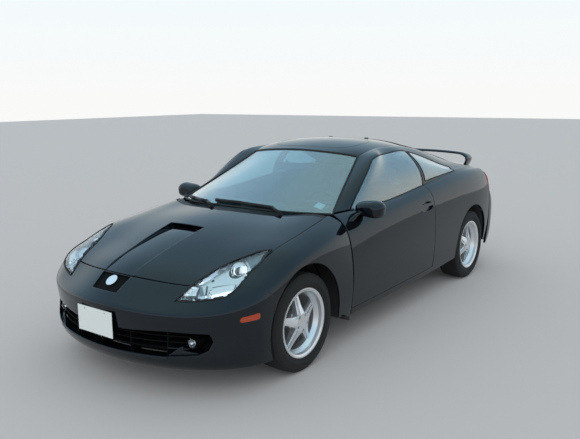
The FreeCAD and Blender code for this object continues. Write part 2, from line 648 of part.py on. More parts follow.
fog_lens = rod(fog_at, fog_at + vec(0, FOG_LONG, 0), FOG_R).fuse(
    Part.makeSphere(FOG_DOME_R, dome_centre).common(rod(fog_at - vec(0, FOG_R, 0), fog_at + vec(0, 1, 0),
                                                        FOG_R)))

# Number plate and its bracket on the nose
PLATE_Z, PLATE_W, PLATE_H, PLATE_T = 404.5, 305.0, 152.0, 1.5
PLATE_SCREWS, PLATE_SCREW_R, PLATE_SCREW_RISE, PLATE_SCREW_REACH = 177.8, 3.5, 60.3, 70.0
plate_y = NOSE_Y
plate = Part.makeBox(PLATE_W, PLATE_T, PLATE_H, vec(-PLATE_W / 2, plate_y, up(PLATE_Z) - PLATE_H / 2))
bracket = Part.makeBox(PLATE_W * 0.8, FREE, PLATE_H * 0.86,
                       vec(-PLATE_W * 0.4, plate_y + PLATE_T / 2, up(PLATE_Z) - PLATE_H * 0.36))
bracket = bracket.cut(panel(front_surface, nose_span, 3 * FREE, NOSE_INSIDE, (16, 21), lift=-SEAT_GAP))
bracket = fused(*[s for s in bracket.Solids if s.Volume > 100.0])
front_plate = plate.fuse(bracket)
screw_bores = [rod(vec(x, plate_y - FREE, up(PLATE_Z) + PLATE_SCREW_RISE),
                   vec(x, plate_y + PLATE_SCREW_REACH, up(PLATE_Z) + PLATE_SCREW_RISE), PLATE_SCREW_R)
               for x in (-PLATE_SCREWS / 2, PLATE_SCREWS / 2)]
for screw_bore in screw_bores:
    front_plate = front_plate.cut(screw_bore)
    front_bumper = front_bumper.cut(screw_bore)

# Fenders
fender_span = (FU["bonnet_lip"] - HALF_GAP + SEAT_GAP, FU["scuttle"] - HALF_DOOR_GAP,
               FV["lamp"] + HALF_GAP, front_v[-1])
fender_left = panel(front_surface, fender_span, FENDER_T, MIDDLE, (14, 11)).cut(front_well).cut(lamp_cut)
fender_outside = panel(front_surface, fender_span, FREE + FENDER_T + SEAM, MIDDLE, (14, 11), lift=-FREE)
nose_outside = panel(front_surface, (0, front_u[-1], FV_RIGHT["shoulder"], FV["shoulder"]),
                     3 * FREE + BUMPER_T + SEAM,
                     NOSE_INSIDE, (16, 17), lift=-3 * FREE).common(block(-900, 900, -2400, -1900, 0, 1200))
bonnet_outside = panel(front_surface, (FU["bonnet_lip"] - HALF_GAP, front_u[-1], FV_RIGHT["lamp"] - HALF_GAP,
                                       FV["lamp"] + HALF_GAP),
                       2 * FREE + BONNET_T + SHUT_GAP, MIDDLE, (10, 11), lift=-2 * FREE)

# Cowl: the dark panel between the bonnet's rear edge and the windscreen, and the wipers on it
COWL_DROP, COWL_T = 9.0, 8.0
cowl_span = (FU["axle"], FU["scuttle"], FV_RIGHT["lamp"] + HALF_GAP, FV["lamp"] - HALF_GAP)
screen_outside = panel(screen_surface, (0, WU["head"], screen_v[0], screen_v[-1]), FREE + GLASS_T + SEAT_GAP,
                       MIDDLE, lift=-FREE)
cowl = panel(front_surface, cowl_span, COWL_T, MIDDLE, (6, 11),
             lift=COWL_DROP).cut(bonnet_plan(SHUT_GAP * 1.3))
cowl_box = side_prism([(-900, 781), (-800, 781), (-800, 800), (-830, 868), (-1000, 872), (-1000, 840),
                       (-900, 820)], -560, 560)
cowl = clean(fused(cowl, cowl_box.cut(bonnet_outside)).cut(screen_outside))
wing_seam_outside = panel(front_surface, (FU["bonnet_lip"] - HALF_GAP, front_u[-1], FV["lamp"] - 4 * HALF_GAP,
                                          FV["lamp"] + 4 * HALF_GAP),
                          FREE + FENDER_T + SEAM, MIDDLE, (14, 3), lift=-FREE)

WIPER_R = 7.0
# Each wiper's pivot on the cowl, then its blade, in plan
WIPER_LINES = {"left": [(430, -985), (330, -935), (80, -958), (-170, -948)],
               "right": [(-120, -1050), (-230, -975), (-400, -912), (-540, -835)]}


def above(surface, x, y, rise):
    """The point over a surface at a drawn x and y."""
    foot = at(x, y, 0)
    line = Part.makeLine(foot, foot + vec(0, 0, 2 * HEIGHT))
    meeting = line.distToShape(surface.toShape())[1][0][0]
    return meeting + vec(0, 0, rise)


def footing(surface, x, y):
    """The point of a surface at a drawn x and y, and the surface's normal there, upwards."""
    point = above(surface, x, y, 0)
    normal = surface.normal(*surface.parameter(point))
    return point, normal if normal.z > 0 else normal * -1


def wiper(points):
    """A pivot on the cowl, an arm, and a blade along the foot of the windscreen."""
    point, way = footing(front_surface, *points[0])
    foot = point - way * (COWL_DROP - SEAT_GAP)
    top = foot + way * 22
    blade = [above(screen_surface, x, y, WIPER_R + 9) for x, y in points[1:]]
    return fused(rods(blade, WIPER_R), rods([top, blade[0]], WIPER_R * 0.8), rod(foot, top, WIPER_R))


# Side panels, doors and the cabin's side frame
DOOR_FOOT = 45.0
PILLAR_B = 40.0
QUARTER_SILL = 14.0
PILLAR_FOOT = DOOR_GAP * 1.6
ROCKER_T = 80.0
DOOR_HINGE_X, DOOR_HINGE_Y = 842.0, -800.0
HINGE_ARM, HINGE_HIGH, HINGE_EYE_R, DOOR_PIN_R = 10.0, 16.0, 6.0, 3.0
DOOR_HINGE_Z = (400.0, 540.0)
door_span = (SU["door_front"] + HALF_DOOR_GAP, SU["door_rear"] - HALF_DOOR_GAP,
             SV["sill"] + DOOR_FOOT + HALF_GAP, SV["belt"])
quarter_span = (SU["door_rear"] + HALF_DOOR_GAP, SU["corner"], SV["sill"], SV["belt"])
rocker_span = (SU["door_front"] + HALF_DOOR_GAP, SU["door_rear"] + 60, SV["sill"],
               SV["sill"] + DOOR_FOOT - HALF_GAP)
quarter_left = panel(side_surface, quarter_span, SIDE_T, MIDDLE, (9, 9)).cut(rear_well).fuse(
    panel(side_surface, rocker_span, ROCKER_T, MIDDLE, (7, 3)))
quarter_outside = panel(side_surface, quarter_span, FREE + SIDE_T + SEAM, MIDDLE, (9, 9), lift=-FREE)
rocker_outside = panel(side_surface, rocker_span, FREE + ROCKER_T + SEAM, MIDDLE, (7, 3), lift=-FREE)
bumper_outside = panel(rear_surface, (0, QU["lamp_low"], rear_v[0], rear_v[-1]), 2 * FREE + BUMPER_T + SEAM,
                       TAIL_INSIDE, (9, 13), lift=-2 * FREE)

# The pull recess in each door, an oval with a bar across it
HANDLE_Y, HANDLE_Z, HANDLE_LONG, HANDLE_HIGH, HANDLE_DEPTH = 375.0, 788.0, 210.0, 74.0, 20.0
handle_oval = Part.Ellipse(vec(0, 0, 0), HANDLE_LONG / 2, HANDLE_HIGH / 2)
handle_wire = Part.Wire(handle_oval.toShape())
handle_wire.Placement = FreeCAD.Placement(at(700, HANDLE_Y, HANDLE_Z),
                                          Rotation(vec(0, 1, 0), vec(0, 0, 1), vec(1, 0, 0), "XYZ"))
handle_prism = extruded(handle_wire, vec(300, 0, 0))
handle_recess = panel(side_surface, door_span, FREE + HANDLE_DEPTH, MIDDLE, (7, 9),
                      lift=-FREE).common(handle_prism)
handle_bar = panel(side_surface, door_span, HANDLE_DEPTH / 2, MIDDLE, (7, 9)).common(
    block(700, 900, HANDLE_Y - 110, HANDLE_Y + 110, HANDLE_Z - 2, HANDLE_Z + 22)).common(handle_prism)
corner_line = cabin_surface.uIso(SU["door_front"] + HALF_DOOR_GAP)
corner_foot, corner_up = corner_line.value(CV["belt"]), corner_line.value(CV["belt"] + 2 * FREE)
corner_clear = rod(corner_foot + (corner_foot - corner_up), corner_up, DOOR_GAP)
door_left = panel(side_surface, door_span, DOOR_T, MIDDLE, (7, 9)).cut(handle_recess).cut(corner_clear)
door_left = door_left.fuse(handle_bar)


def hinge_outline(points, z, high):
    """A plan outline about the door hinge's axis, extruded upwards from a drawn height."""
    centre = at(DOOR_HINGE_X, DOOR_HINGE_Y, z)
    wire = Part.makePolygon([centre + vec(x, y, 0) for x, y in points + points[:1]])
    return extruded(wire, vec(0, 0, high))


door_reach = along(-750) - along(DOOR_HINGE_Y)
GOOSENECK = [(-HINGE_EYE_R, -HINGE_EYE_R), (0, -HINGE_EYE_R), (0, HINGE_EYE_R), (-38, HINGE_EYE_R),
             (-38, door_reach),
             (-38 - HINGE_ARM, door_reach), (-38 - HINGE_ARM, -HINGE_EYE_R)]
HINGE_LUG = [(-7, -30), (7, -30), (5, 0), (-5, 0)]
door_hinge_body = None
for z in DOOR_HINGE_Z:
    axis_foot = at(DOOR_HINGE_X, DOOR_HINGE_Y, z)
    rise = vec(0, 0, HINGE_HIGH)
    neck = hinge_outline(GOOSENECK, z, HINGE_HIGH).fuse(rod(axis_foot, axis_foot + rise, HINGE_EYE_R))
    neck = neck.cut(rod(axis_foot - rise, axis_foot + rise * 2, DOOR_PIN_R + PIN_GAP))
    door_left = door_left.fuse(neck)
    lug_gap = vec(0, 0, HINGE_HIGH + SEAT_GAP)
    lug = hinge_outline(HINGE_LUG, z, HINGE_HIGH / 2).fuse(rod(axis_foot, axis_foot + rise * 0.5,
                                                               HINGE_EYE_R - 1))
    pin = rod(axis_foot - rise * 0.5, axis_foot + rise * 1.5, DOOR_PIN_R)
    part = fused(pin, lug.translated(lug_gap), lug.translated(vec(0, 0, -HINGE_HIGH / 2 - SEAT_GAP)))
    door_hinge_body = part if door_hinge_body is None else door_hinge_body.fuse(part)

frame = walled(
    cabin_surface,
    [SU["door_front"] + HALF_DOOR_GAP, SU["mirror"], SU["door_rear"], SU["door_rear"] + PILLAR_B,
     SU["rear_axle"],
     SU["corner"]],
    [CV["belt"] + RIM_GAP, CV["belt"] + PILLAR_FOOT, CV["belt"] + QUARTER_SILL, CV["glass_top"],
     CV["roof_edge"]],
    [".xxx", "...x", "xxxx", "xx.x", "xxxx"], FRAME_T, MIDDLE)
door_glass_left = panel(cabin_surface, (SU["mirror"] + 1.6 * DOOR_GAP, SU["door_rear"] - DOOR_GAP,
                                        CV["belt"] + RIM_GAP, CV["glass_top"] - DOOR_GAP), GLASS_T, MIDDLE,
                                        (7, 5))
quarter_glass = panel(cabin_surface, (SU["door_rear"] + PILLAR_B + SEAM, SU["rear_axle"] - 2 * GLASS_SEAM,
                                      CV["belt"] + QUARTER_SILL + GLASS_SEAM, CV["glass_top"] - GLASS_SEAM),
                      GLASS_T, MIDDLE, (7, 5))
belt_line = [side_surface.value(u, SV["belt"]) for u in spread(SU["door_front"], SU["door_rear"], 12)]
below = [(p.y, p.z + DOOR_GAP) for p in belt_line]
below = [(below[0][0] - DOOR_T, 0), (below[0][0] - DOOR_T, below[0][1])] + below
below += [(below[-1][0] + HALF_DOOR_GAP, below[-1][1]), (below[-1][0] + HALF_DOOR_GAP, 0)]
below_wire = Part.makePolygon([vec(across(300), y, z) for y, z in below + below[:1]])
door_below = extruded(below_wire, vec(WIDTH, 0, 0))
pillar_foot = side_prism([(-776, 800), (-746, 800), (-746, 874), (-690, 892), (-690, 935), (-776, 878)],
                         600, 650)
side_frame_left = frame.cut(door_below).fuse(pillar_foot.cut(screen_outside))

# Door mirrors: a rounded shell on a foot
MIRROR_RINGS = [(-596, 848, 893, 52, 30), (-582, 850, 895, 84, 50), (-556, 852, 897, 100, 62),
                (-528, 853, 898, 104, 66),
                (-500, 853, 898, 100, 63)]
FOOT_RINGS = [(776, -648, 826, 44, 14), (792, -622, 858, 36, 14), (816, -580, 884, 26, 14)]


def mirror_ring(y, x, z, half_x, half_z):
    """A closed ring, broad at the outer end, round the mirror's head."""
    points = []
    for k in range(12):
        a = 2 * math.pi * k / 12
        c, s = math.cos(a), math.sin(a)
        squared = 1.0 / (abs(c) ** 3 + abs(s) ** 3) ** (1 / 3)
        taper = 0.86 + 0.14 * c
        points.append((x + half_x * c * squared, y, z + half_z * s * squared * taper))
    return smooth_outline(points)


def foot_ring(x, y, z, half_y, half_x):
    points = []
    for k in range(8):
        a = 2 * math.pi * k / 8
        points.append((x + half_x * math.sin(a), y + half_y * math.cos(a), z))
    return smooth_outline(points)


head = outward(Part.makeLoft([mirror_ring(*ring) for ring in MIRROR_RINGS], True))
foot = outward(Part.makeLoft([foot_ring(*ring) for ring in FOOT_RINGS], True))
door_inside = panel(side_surface, door_span, DOOR_T, MIDDLE, (7, 9), lift=-2 * SEAT_GAP)
mirror_left = clean(head.fuse(foot).cut(door_inside))

# Roof, windscreen, tailgate with its hinges and rear wing
ROOF_GAP = 7.0
GLASS_RIM = 55.0
TAILGATE_HINGE_Y, TAILGATE_HINGE_Z = 567.0, 1291.0
KNUCKLE_X, KNUCKLE_R, KNUCKLE_PIN_R, KNUCKLE_W = 180.0, 5.5, 2.6, 10.0
windscreen = panel(screen_surface, (SEAT_GAP, WU["head"] - SEAT_GAP, screen_v[0], screen_v[-1]), GLASS_T,
                   MIDDLE)
roof = panel(roof_surface, (0, RU["tailgate"] - ROOF_GAP / 2, roof_v[0], roof_v[-1]), ROOF_T, MIDDLE)
tailgate = walled(
    tailgate_surface, [ROOF_GAP / 2, TU["hinge"] + 70, TU["lower"] + 60, TU["foot"]],
    [tailgate_v[0], tailgate_v[0] + GLASS_RIM, tailgate_v[-1] - GLASS_RIM, tailgate_v[-1]],
    ["xxx", "x.x", "xxx"], TAILGATE_T, at(0, 0, 300), (14, 7))
tailgate_glass = panel(tailgate_surface, (TU["hinge"] + 70 + RIM_GAP, TU["lower"] + 60 - RIM_GAP,
                                          tailgate_v[0] + GLASS_RIM + SEAM,
                                          tailgate_v[-1] - GLASS_RIM - SEAM),
                       GLASS_T, at(0, 0, 300), (7, 7))


def knuckle(x, wide, away):
    """Part of a tailgate hinge: an eye round the axis and a leaf that runs to the roof or the tailgate."""
    axis = at(0, TAILGATE_HINGE_Y, TAILGATE_HINGE_Z) + vec(x - wide / 2, 0, 0)
    leaf = [(0, KNUCKLE_R), (0, -KNUCKLE_R), (away * 26, -17), (away * 26, -5)]
    wire = Part.makePolygon([axis + vec(0, y, z) for y, z in leaf + leaf[:1]])
    return rod(axis, axis + vec(wide, 0, 0), KNUCKLE_R).fuse(extruded(wire, vec(wide, 0, 0)))


for side in (1, -1):
    centre = side * KNUCKLE_X
    axis = at(0, TAILGATE_HINGE_Y, TAILGATE_HINGE_Z)
    pin_from, pin_to = axis + vec(centre - 1.4 * KNUCKLE_W, 0, 0), axis + vec(centre + 1.4 * KNUCKLE_W, 0, 0)
    tailgate = tailgate.fuse(knuckle(centre, KNUCKLE_W,
                                     1).cut(rod(pin_from, pin_to, KNUCKLE_PIN_R + PIN_GAP)))
    for step in (-1, 1):
        roof = roof.fuse(knuckle(centre + step * (KNUCKLE_W + SEAT_GAP), KNUCKLE_W, -1))
    roof = roof.fuse(rod(pin_from, pin_to, KNUCKLE_PIN_R))

# The wing's stations: the place of its middle, and how far its thickness leans from upright, in degrees
WING_PATH = [(560, 1838, 925, 90), (564, 1838, 965, 86), (586, 1840, 1010, 74), (588, 1842, 1042, 56),
             (556, 1840, 1074, 34), (480, 1834, 1091, 16), (300, 1827, 1101, 5), (0, 1824, 1104, 0)]
WING_CHORD, WING_T = 150.0, 26.0
# Its section: shares of the chord from the front, and of the thickness on each side
WING_FORM = [(-0.5, 0.16), (-0.4, 0.42), (-0.15, 0.5), (0.2, 0.36), (0.5, 0.1)]
wing_stations = WING_PATH + [(-x, y, z, -tilt) for x, y, z, tilt in reversed(WING_PATH[:-1])]


def wing_skin(way):
    """The wing's upper or lower surface."""
    grid = []
    for share, half in WING_FORM:
        rise = way * half * WING_T
        row = []
        for x, y, z, tilt in wing_stations:
            lean = math.radians(tilt)
            row.append(at(x, y, z) + vec(rise * math.sin(lean), share * WING_CHORD, rise * math.cos(lean)))
        grid.append(row)
    return surface_through(grid)[0]


tailgate_inside = panel(tailgate_surface, (ROOF_GAP / 2, TU["foot"], tailgate_v[0], tailgate_v[-1]), 2 * FREE,
                        at(0, 0, 300), (14, 7), lift=-3 * SEAT_GAP)
rear_wing = outward(solid_between(wing_skin(1), wing_skin(-1))).cut(tailgate_inside)
for clear in (vec(3 * SEAT_GAP, 0, 0), vec(-3 * SEAT_GAP, 0, 0), vec(0, 0, 3 * SEAT_GAP)):
    rear_wing = rear_wing.cut(tailgate.translated(clear))
rear_wing = clean(rear_wing)

# Tail
rear_bumper = panel(rear_surface, (0, QU["lamp_low"], rear_v[0], rear_v[-1]), BUMPER_T, TAIL_INSIDE,
                    (9, 13)).cut(rear_well)
tail_lamp = panel(rear_surface, (QU["lamp_low"] + 3 * SEAM, QU["lamp_top"] - SEAM, QV["lamp"] + SHUT_GAP,
                                 QV["side"]),
                  BUMPER_T, TAIL_INSIDE)
tail_corner = panel(rear_surface, (QU["lamp_top"], QU["rim"], QV["lamp"] + SHUT_GAP, QV["side"]), BUMPER_T,
                    TAIL_INSIDE)

# Floor, tunnel, sills and boot
FLOOR_Z, FLOOR_T = 178.0, 22.0
FLOOR_TOP = FLOOR_Z + FLOOR_T
SILL_X = 742.0
TUNNEL_X, TUNNEL_Z = 120.0, 330.0
FIREWALL_Y = -842.0
FIREWALL_T = 20.0
KICK_Y, BOOT_Z = 940.0, 400.0
WELL_X = WHEEL_X - TYRE_WIDTH / 2 - 42.5
BOOT_X = WELL_X - 40
floor = block(-690, 690, FIREWALL_Y, 960, FLOOR_Z, FLOOR_TOP)
tunnel = block(-TUNNEL_X, TUNNEL_X, FIREWALL_Y, 985, FLOOR_Z, TUNNEL_Z)
tunnel_inside = block(-TUNNEL_X + FLOOR_T, TUNNEL_X - FLOOR_T, FIREWALL_Y - 1, 1060, FLOOR_Z - 1,
                      TUNNEL_Z - FLOOR_T)
sill = block(660, SILL_X, -700, 960, FLOOR_Z, 300).fuse(block(700, 800, -690, 500, 222,
                                                              250)).cut(rocker_outside)
boot_floor = side_prism([(KICK_Y, FLOOR_Z), (KICK_Y, FLOOR_TOP), (KICK_Y + 60, BOOT_Z), (2040, BOOT_Z),
                         (2040, 640),
                         (2200, 640), (2200, 600), (2060, 600), (2060, BOOT_Z - FLOOR_T),
                         (KICK_Y + 80, BOOT_Z - FLOOR_T), (KICK_Y + 22, FLOOR_Z)],
                        -BOOT_X * DRAWN_SPAN[0] / WIDTH, BOOT_X * DRAWN_SPAN[0] / WIDTH).cut(bumper_outside)
well_zone = Part.makeBox(SIDE_X, along(1740) - along(900), up(800) - up(330),
                         vec(WELL_X, along(900), up(330)))
rear_liner = cross_cylinder(REAR_AXLE_Y, ARCH_R + FLOOR_T, WELL_X, SIDE_X).cut(
    cross_cylinder(REAR_AXLE_Y, ARCH_R, WELL_X - 10, SIDE_X + 10)).common(well_zone)
well_wall = Part.makeBox(FLOOR_T, along(1680) - along(960), up(700) - up(BOOT_Z - 60),
                         vec(WELL_X - FLOOR_T / 2, along(960), up(BOOT_Z - 60)))
well_web = Part.makeBox(WELL_X - BOOT_X, along(1680) - along(960), FLOOR_T,
                        vec(BOOT_X - 1, along(960), up(BOOT_Z) - FLOOR_T))
rear_house = fused(rear_liner, well_wall, well_web).cut(quarter_outside)
jack_pads = [block(694, 718, y - 40, y + 40, FLOOR_Z - 8, FLOOR_Z + 2) for y in (-620, 800)]
link_bracket = block(362, 398, 996, 1013.7, 262, BOOT_Z - FLOOR_T + 2)
floor_pan = fused(floor, boot_floor, tunnel).cut(tunnel_inside)
for part in [sill, rear_house, link_bracket] + jack_pads:
    floor_pan = fused(floor_pan, part, mirrored(part))

# Engine bay: firewall, rails, strut towers and liners, radiator support and bumper beam
RAIL_IN, RAIL_WIDE = 130.0, 90.0
liner_x = KINGPIN_X - STEER_ROOM
rail_x = liner_x - RAIL_IN
rail_y = along(-1960), along(FIREWALL_Y) + FIREWALL_T
rail = Part.makeBox(RAIL_WIDE, rail_y[1] - rail_y[0], up(400) - up(300), vec(rail_x, rail_y[0], up(300)))
post = block(600, 880, FIREWALL_Y, FIREWALL_Y + FIREWALL_T, 205, 780).cut(fender_outside).cut(bonnet_outside)
upper_rail = side_prism([(-1640, 560), (-1640, 690), (-1560, 740), (-1400, 800), (-1200, 826), (-822, 826),
                         (-822, 640),
                         (-1282, 700), (-1560, 640)], 685, 752).cut(fender_outside).cut(bonnet_outside)
bonnet_ear = side_prism([(-842, 770), (-842, 800), (-800, 846), (-784, 842), (-782, 826), (-822, 780)], 640,
                       ARM_X[0] - SEAT_GAP)
bonnet_ear = bonnet_ear.fuse(rod(at(640, BONNET_HINGE_Y, BONNET_HINGE_Z),
                                 at(ARM_X[1] + 2, BONNET_HINGE_Y, BONNET_HINGE_Z), HINGE_PIN_R))
arm_slot = block(ARM_X[0] - 5, ARM_X[1] + 5, -930, -780, 735, 900)
liner_zone = Part.makeBox(across(720) - liner_x, 2 * LINER_R + 40, LINER_R,
                          vec(liner_x, FRONT_AXLE_Y - LINER_R - 20, up(430)))
liner = cross_cylinder(FRONT_AXLE_Y, LINER_R + FENDER_T, liner_x, across(720)).cut(
    cross_cylinder(FRONT_AXLE_Y, LINER_R, liner_x - 10, across(720) + 10)).common(liner_zone)
liner_wall = cross_cylinder(FRONT_AXLE_Y, LINER_R + FENDER_T, liner_x - FENDER_T, liner_x).common(
    Part.makeBox(FENDER_T, 2 * LINER_R + 20, up(1000),
                 vec(liner_x - FENDER_T, FRONT_AXLE_Y - LINER_R - 10, up(300))))
liner_web = Part.makeBox(liner_x - rail_x - RAIL_WIDE + FENDER_T, up(40), up(60),
                         vec(rail_x + RAIL_WIDE - FENDER_T, FRONT_AXLE_Y - LINER_R + 60, up(320)))
rear_web = liner_web.translated(vec(0, 2 * LINER_R - 160, 0))
firewall = block(-640, 640, FIREWALL_Y, FIREWALL_Y + FIREWALL_T, FLOOR_TOP, 780).cut(
    block(-TUNNEL_X - 1, TUNNEL_X + 1, FIREWALL_Y - 1, FIREWALL_Y + 30, 100, TUNNEL_Z + 1))
firewall = firewall.cut(block(-700, 700, FIREWALL_Y - 1, FIREWALL_Y + 30, FLOOR_TOP - 1,
                              FLOOR_TOP)).translated(
    vec(0, 0, SEAT_GAP))
support_half = rail_x + RAIL_WIDE
radiator_support = Part.makeBox(2 * support_half, up(30), up(560) - up(300),
                                vec(-support_half, along(-1960), up(300)))
radiator_support = radiator_support.cut(
    Part.makeBox(2 * support_half - 220, FREE, up(530) - up(330),
                 vec(-support_half + 110, along(-1960) - 10, up(330))))
beam = Part.makeBox(2 * support_half, FREE * 5, up(480) - up(430),
                    vec(-support_half, along(-1960) - 5 * FREE + 10, up(430)))
lamp_arm = block(support_half * DRAWN_SPAN[0] / WIDTH - 40, 640, -1960, -1935, 440, 500)
engine_bay = fused(firewall, radiator_support, beam.cut(nose_outside))
for part in (rail, post.cut(arm_slot), upper_rail, liner.cut(fender_outside).cut(bonnet_outside),
             liner_wall, liner_web, rear_web,
             bonnet_ear, door_hinge_body.cut(fender_outside), lamp_arm.cut(nose_outside)):
    engine_bay = fused(engine_bay, part, mirrored(part))
for cutter in (lamp_outside, mirrored(lamp_outside), bonnet_outside, wing_seam_outside,
               mirrored(wing_seam_outside),
               *screw_bores):
    engine_bay = engine_bay.cut(cutter)

# Engine, gearbox and exhaust
ENGINE_Z = (245.0, 640.0)
EXHAUST_R, EXHAUST_Z = 22.0, 262.0
engine_half = rail_x - 40
engine_block = Part.makeBox(2 * engine_half, along(-1300) - along(-1740), up(ENGINE_Z[1]) - up(ENGINE_Z[0]),
                            vec(-engine_half, along(-1740), up(ENGINE_Z[0])))
mount_bar = Part.makeBox(2 * (rail_x - SEAT_GAP), 80, up(40), vec(-rail_x + SEAT_GAP, along(-1500), up(330)))
engine_block = engine_block.fuse(mount_bar)
exhaust = rods([at(0, -1300, EXHAUST_Z) + vec(0, SEAT_GAP, 0), at(0, 1150, EXHAUST_Z), at(-60, 1240, 215),
                at(-60, 1560, 215), at(-130, 1700, 225)], EXHAUST_R)
muffler = rod(at(-480, 1760, 245), at(150, 1760, 245), 72)
tailpipe = rods([at(-420, 1780, 225), at(-420, 1880, 190), at(-420, 2130, 186)], EXHAUST_R + 6).cut(
    rod(at(-420, 1980, 186), at(-420, 2200, 186), EXHAUST_R + 3))
hanger = rod(at(-60, 1760, 300), at(-60, 1760, BOOT_Z - FLOOR_T) - vec(0, 0, SEAT_GAP), 8)
exhaust = fused(exhaust, muffler, tailpipe, hanger)

# Dashboard with the column's shroud and the console
STEER_X, STEER_Y, STEER_Z, STEER_TILT = 370.0, -330.0, 800.0, 25.0
STEER_R, STEER_GRIP, COLUMN_R = 180.0, 14.0, 20.0
column_way = vec(0, math.cos(math.radians(STEER_TILT)), math.sin(math.radians(STEER_TILT)))
steer_centre = at(STEER_X, STEER_Y, STEER_Z)
DASH_PROFILE = [(-822, 640), (-822, 780), (-799.4, 780), (-799.4, 822), (-760, 842), (-640, 866),
                (-520, 868), (-470, 846), (-462, 800), (-490, 720),
                (-545, 640)]
dash_hood = side_prism([(-560, 840), (-500, 900), (-430, 892), (-415, 868), (-470, 840)], 215, 525)
dashboard = fused(side_prism(DASH_PROFILE, -585, 585).translated(vec(0, SEAT_GAP, 0)), dash_hood)
console = side_prism([(-560, 330.3), (-560, 690), (-480, 700), (-380, 480), (-60, 440), (0, 500),
                      (280, 520), (330, 480),
                      (330, 330.3)], -100, 100)
lever = rod(at(0, -250, 450), at(0, -235, 560), 11).fuse(Part.makeSphere(28, at(0, -235, 575)))
shroud = rod(steer_centre - column_way * 330, steer_centre - column_way * 60, 38).cut(
    rod(steer_centre - column_way * 190, steer_centre - column_way * 20, COLUMN_R + PIN_GAP))
dashboard = dashboard.cut(rod(steer_centre - column_way * 330, steer_centre - column_way * 20, 37))
dashboard = fused(dashboard, shroud, console, lever)

steering_wheel = Part.makeTorus(STEER_R, STEER_GRIP).fuse(rod(vec(0, 0, -180), vec(0, 0, -5), COLUMN_R)).fuse(
    rod(vec(0, 0, -34), vec(0, 0, -2), 62))
for turn in (0, -90, 180):
    spoke = Part.makeBox(STEER_R - 2, 34, 12, vec(0, -17, -18))
    spoke.rotate(vec(0, 0, 0), vec(0, 0, 1), turn)
    steering_wheel = steering_wheel.fuse(spoke)
steering_wheel.Placement = FreeCAD.Placement(steer_centre, Rotation(vec(0, 0, 1), column_way))

# Seats: a side profile seen against a front profile
SEAT_SIDE = [(-150, FLOOR_TOP + 0.3), (310, FLOOR_TOP + 0.3), (330, 300), (400, 400), (470, 620),
             (556, 880), (590, 960),
             (588, 1030), (540, 1050), (505, 1010), (500, 940), (440, 860), (350, 640), (290, 520),
             (250, 462),
             (100, 440), (-120, 470), (-190, 440), (-195, 380)]
SEAT_FRONT = [(135, FLOOR_TOP), (135, 480), (160, 700), (175, 860), (220, 920), (270, 930), (285, 945),
              (290, 1060),
              (460, 1060), (465, 945), (480, 930), (530, 920), (575, 860), (590, 700), (615, 480),
              (615, FLOOR_TOP)]
front_seat = side_prism(SEAT_SIDE, 130, 620).common(front_prism(SEAT_FRONT, -300, 700))
rear_seat = side_prism([(700, FLOOR_TOP + 0.3), (935, FLOOR_TOP + 0.3), (990, 410), (1060, 600),
                        (1125, 800), (1110, 836),
                        (1050, 842), (1000, 760), (930, 560), (885, 455), (760, 440), (680, 462),
                        (655, 430)], -545, 545)
rear_seat = rear_seat.cut(block(-TUNNEL_X - 1, TUNNEL_X + 1, 600, 1000, FLOOR_Z, TUNNEL_Z + 0.3))
inner_mirror = side_prism([(-278, 1084), (-266, 1084), (-260, 1114), (-272, 1144), (-290, 1144),
                           (-298, 1114)],
                          -110, 110)
stem_top, stem_way = footing(screen_surface, 0, -330)
stem_way = stem_way * -1
mirror_stem = rod(stem_top + stem_way * (GLASS_T + SEAT_GAP), stem_top + stem_way * 50, 9).fuse(
    rod(stem_top + stem_way * 45, at(0, -282, 1114), 7))
interior_mirror = clean(inner_mirror.fuse(mirror_stem))

# Suspension, knuckles with calipers, wheels with discs
HUB_X = WHEEL_X + RIM_WIDTH / 2 - 41.0
AXLE_R, BORE_GAP = 16.0, 0.3
DISC_X, DISC_OUT, DISC_THICK = WHEEL_X - 30.0, 138.0, 22.0
BALL_R = 12.0
KNUCKLE_R_BODY = 26.0
member_half = rail_x
crossmember = Part.makeBox(2 * member_half, 120, up(290) - up(232),
                           vec(-member_half, FRONT_AXLE_Y + 52, up(232)))
crossmember = crossmember.cut(rod(at(0, -1300, EXHAUST_Z), at(0, -1000, EXHAUST_Z), EXHAUST_R + 12))
arm_points = [(member_half - 40, 52), (KINGPIN_X + 14, -18), (KINGPIN_X + 14, 18), (member_half - 40, 172)]
arm_wire = Part.makePolygon([vec(x, FRONT_AXLE_Y + y, 190) for x, y in arm_points + arm_points[:1]])
arm = extruded(arm_wire, vec(0, 0, 46)).cut(rod(vec(KINGPIN_X, FRONT_AXLE_Y, 212),
                                                vec(KINGPIN_X, FRONT_AXLE_Y, 300), 60))
ball_pin = rod(vec(KINGPIN_X, FRONT_AXLE_Y, 190), vec(KINGPIN_X, FRONT_AXLE_Y, 236), BALL_R)
rail_foot = Part.makeBox(RAIL_WIDE + 10, 60, up(300) - up(250) - SEAT_GAP,
                         vec(rail_x - 10, FRONT_AXLE_Y + 82, up(250)))
front_suspension = fused(crossmember, *[p for part in (arm, ball_pin, rail_foot) for p in (part,
                                                                                           mirrored(part))])

knuckle_left = rod(vec(KINGPIN_X, FRONT_AXLE_Y, 220), vec(KINGPIN_X, FRONT_AXLE_Y, 420), KNUCKLE_R_BODY).cut(
    rod(vec(KINGPIN_X, FRONT_AXLE_Y, 210), vec(KINGPIN_X, FRONT_AXLE_Y, 237), BALL_R + BORE_GAP))
knuckle_left = knuckle_left.fuse(rod(vec(KINGPIN_X, FRONT_AXLE_Y, TYRE_R),
                                     vec(HUB_X, FRONT_AXLE_Y, TYRE_R), AXLE_R))


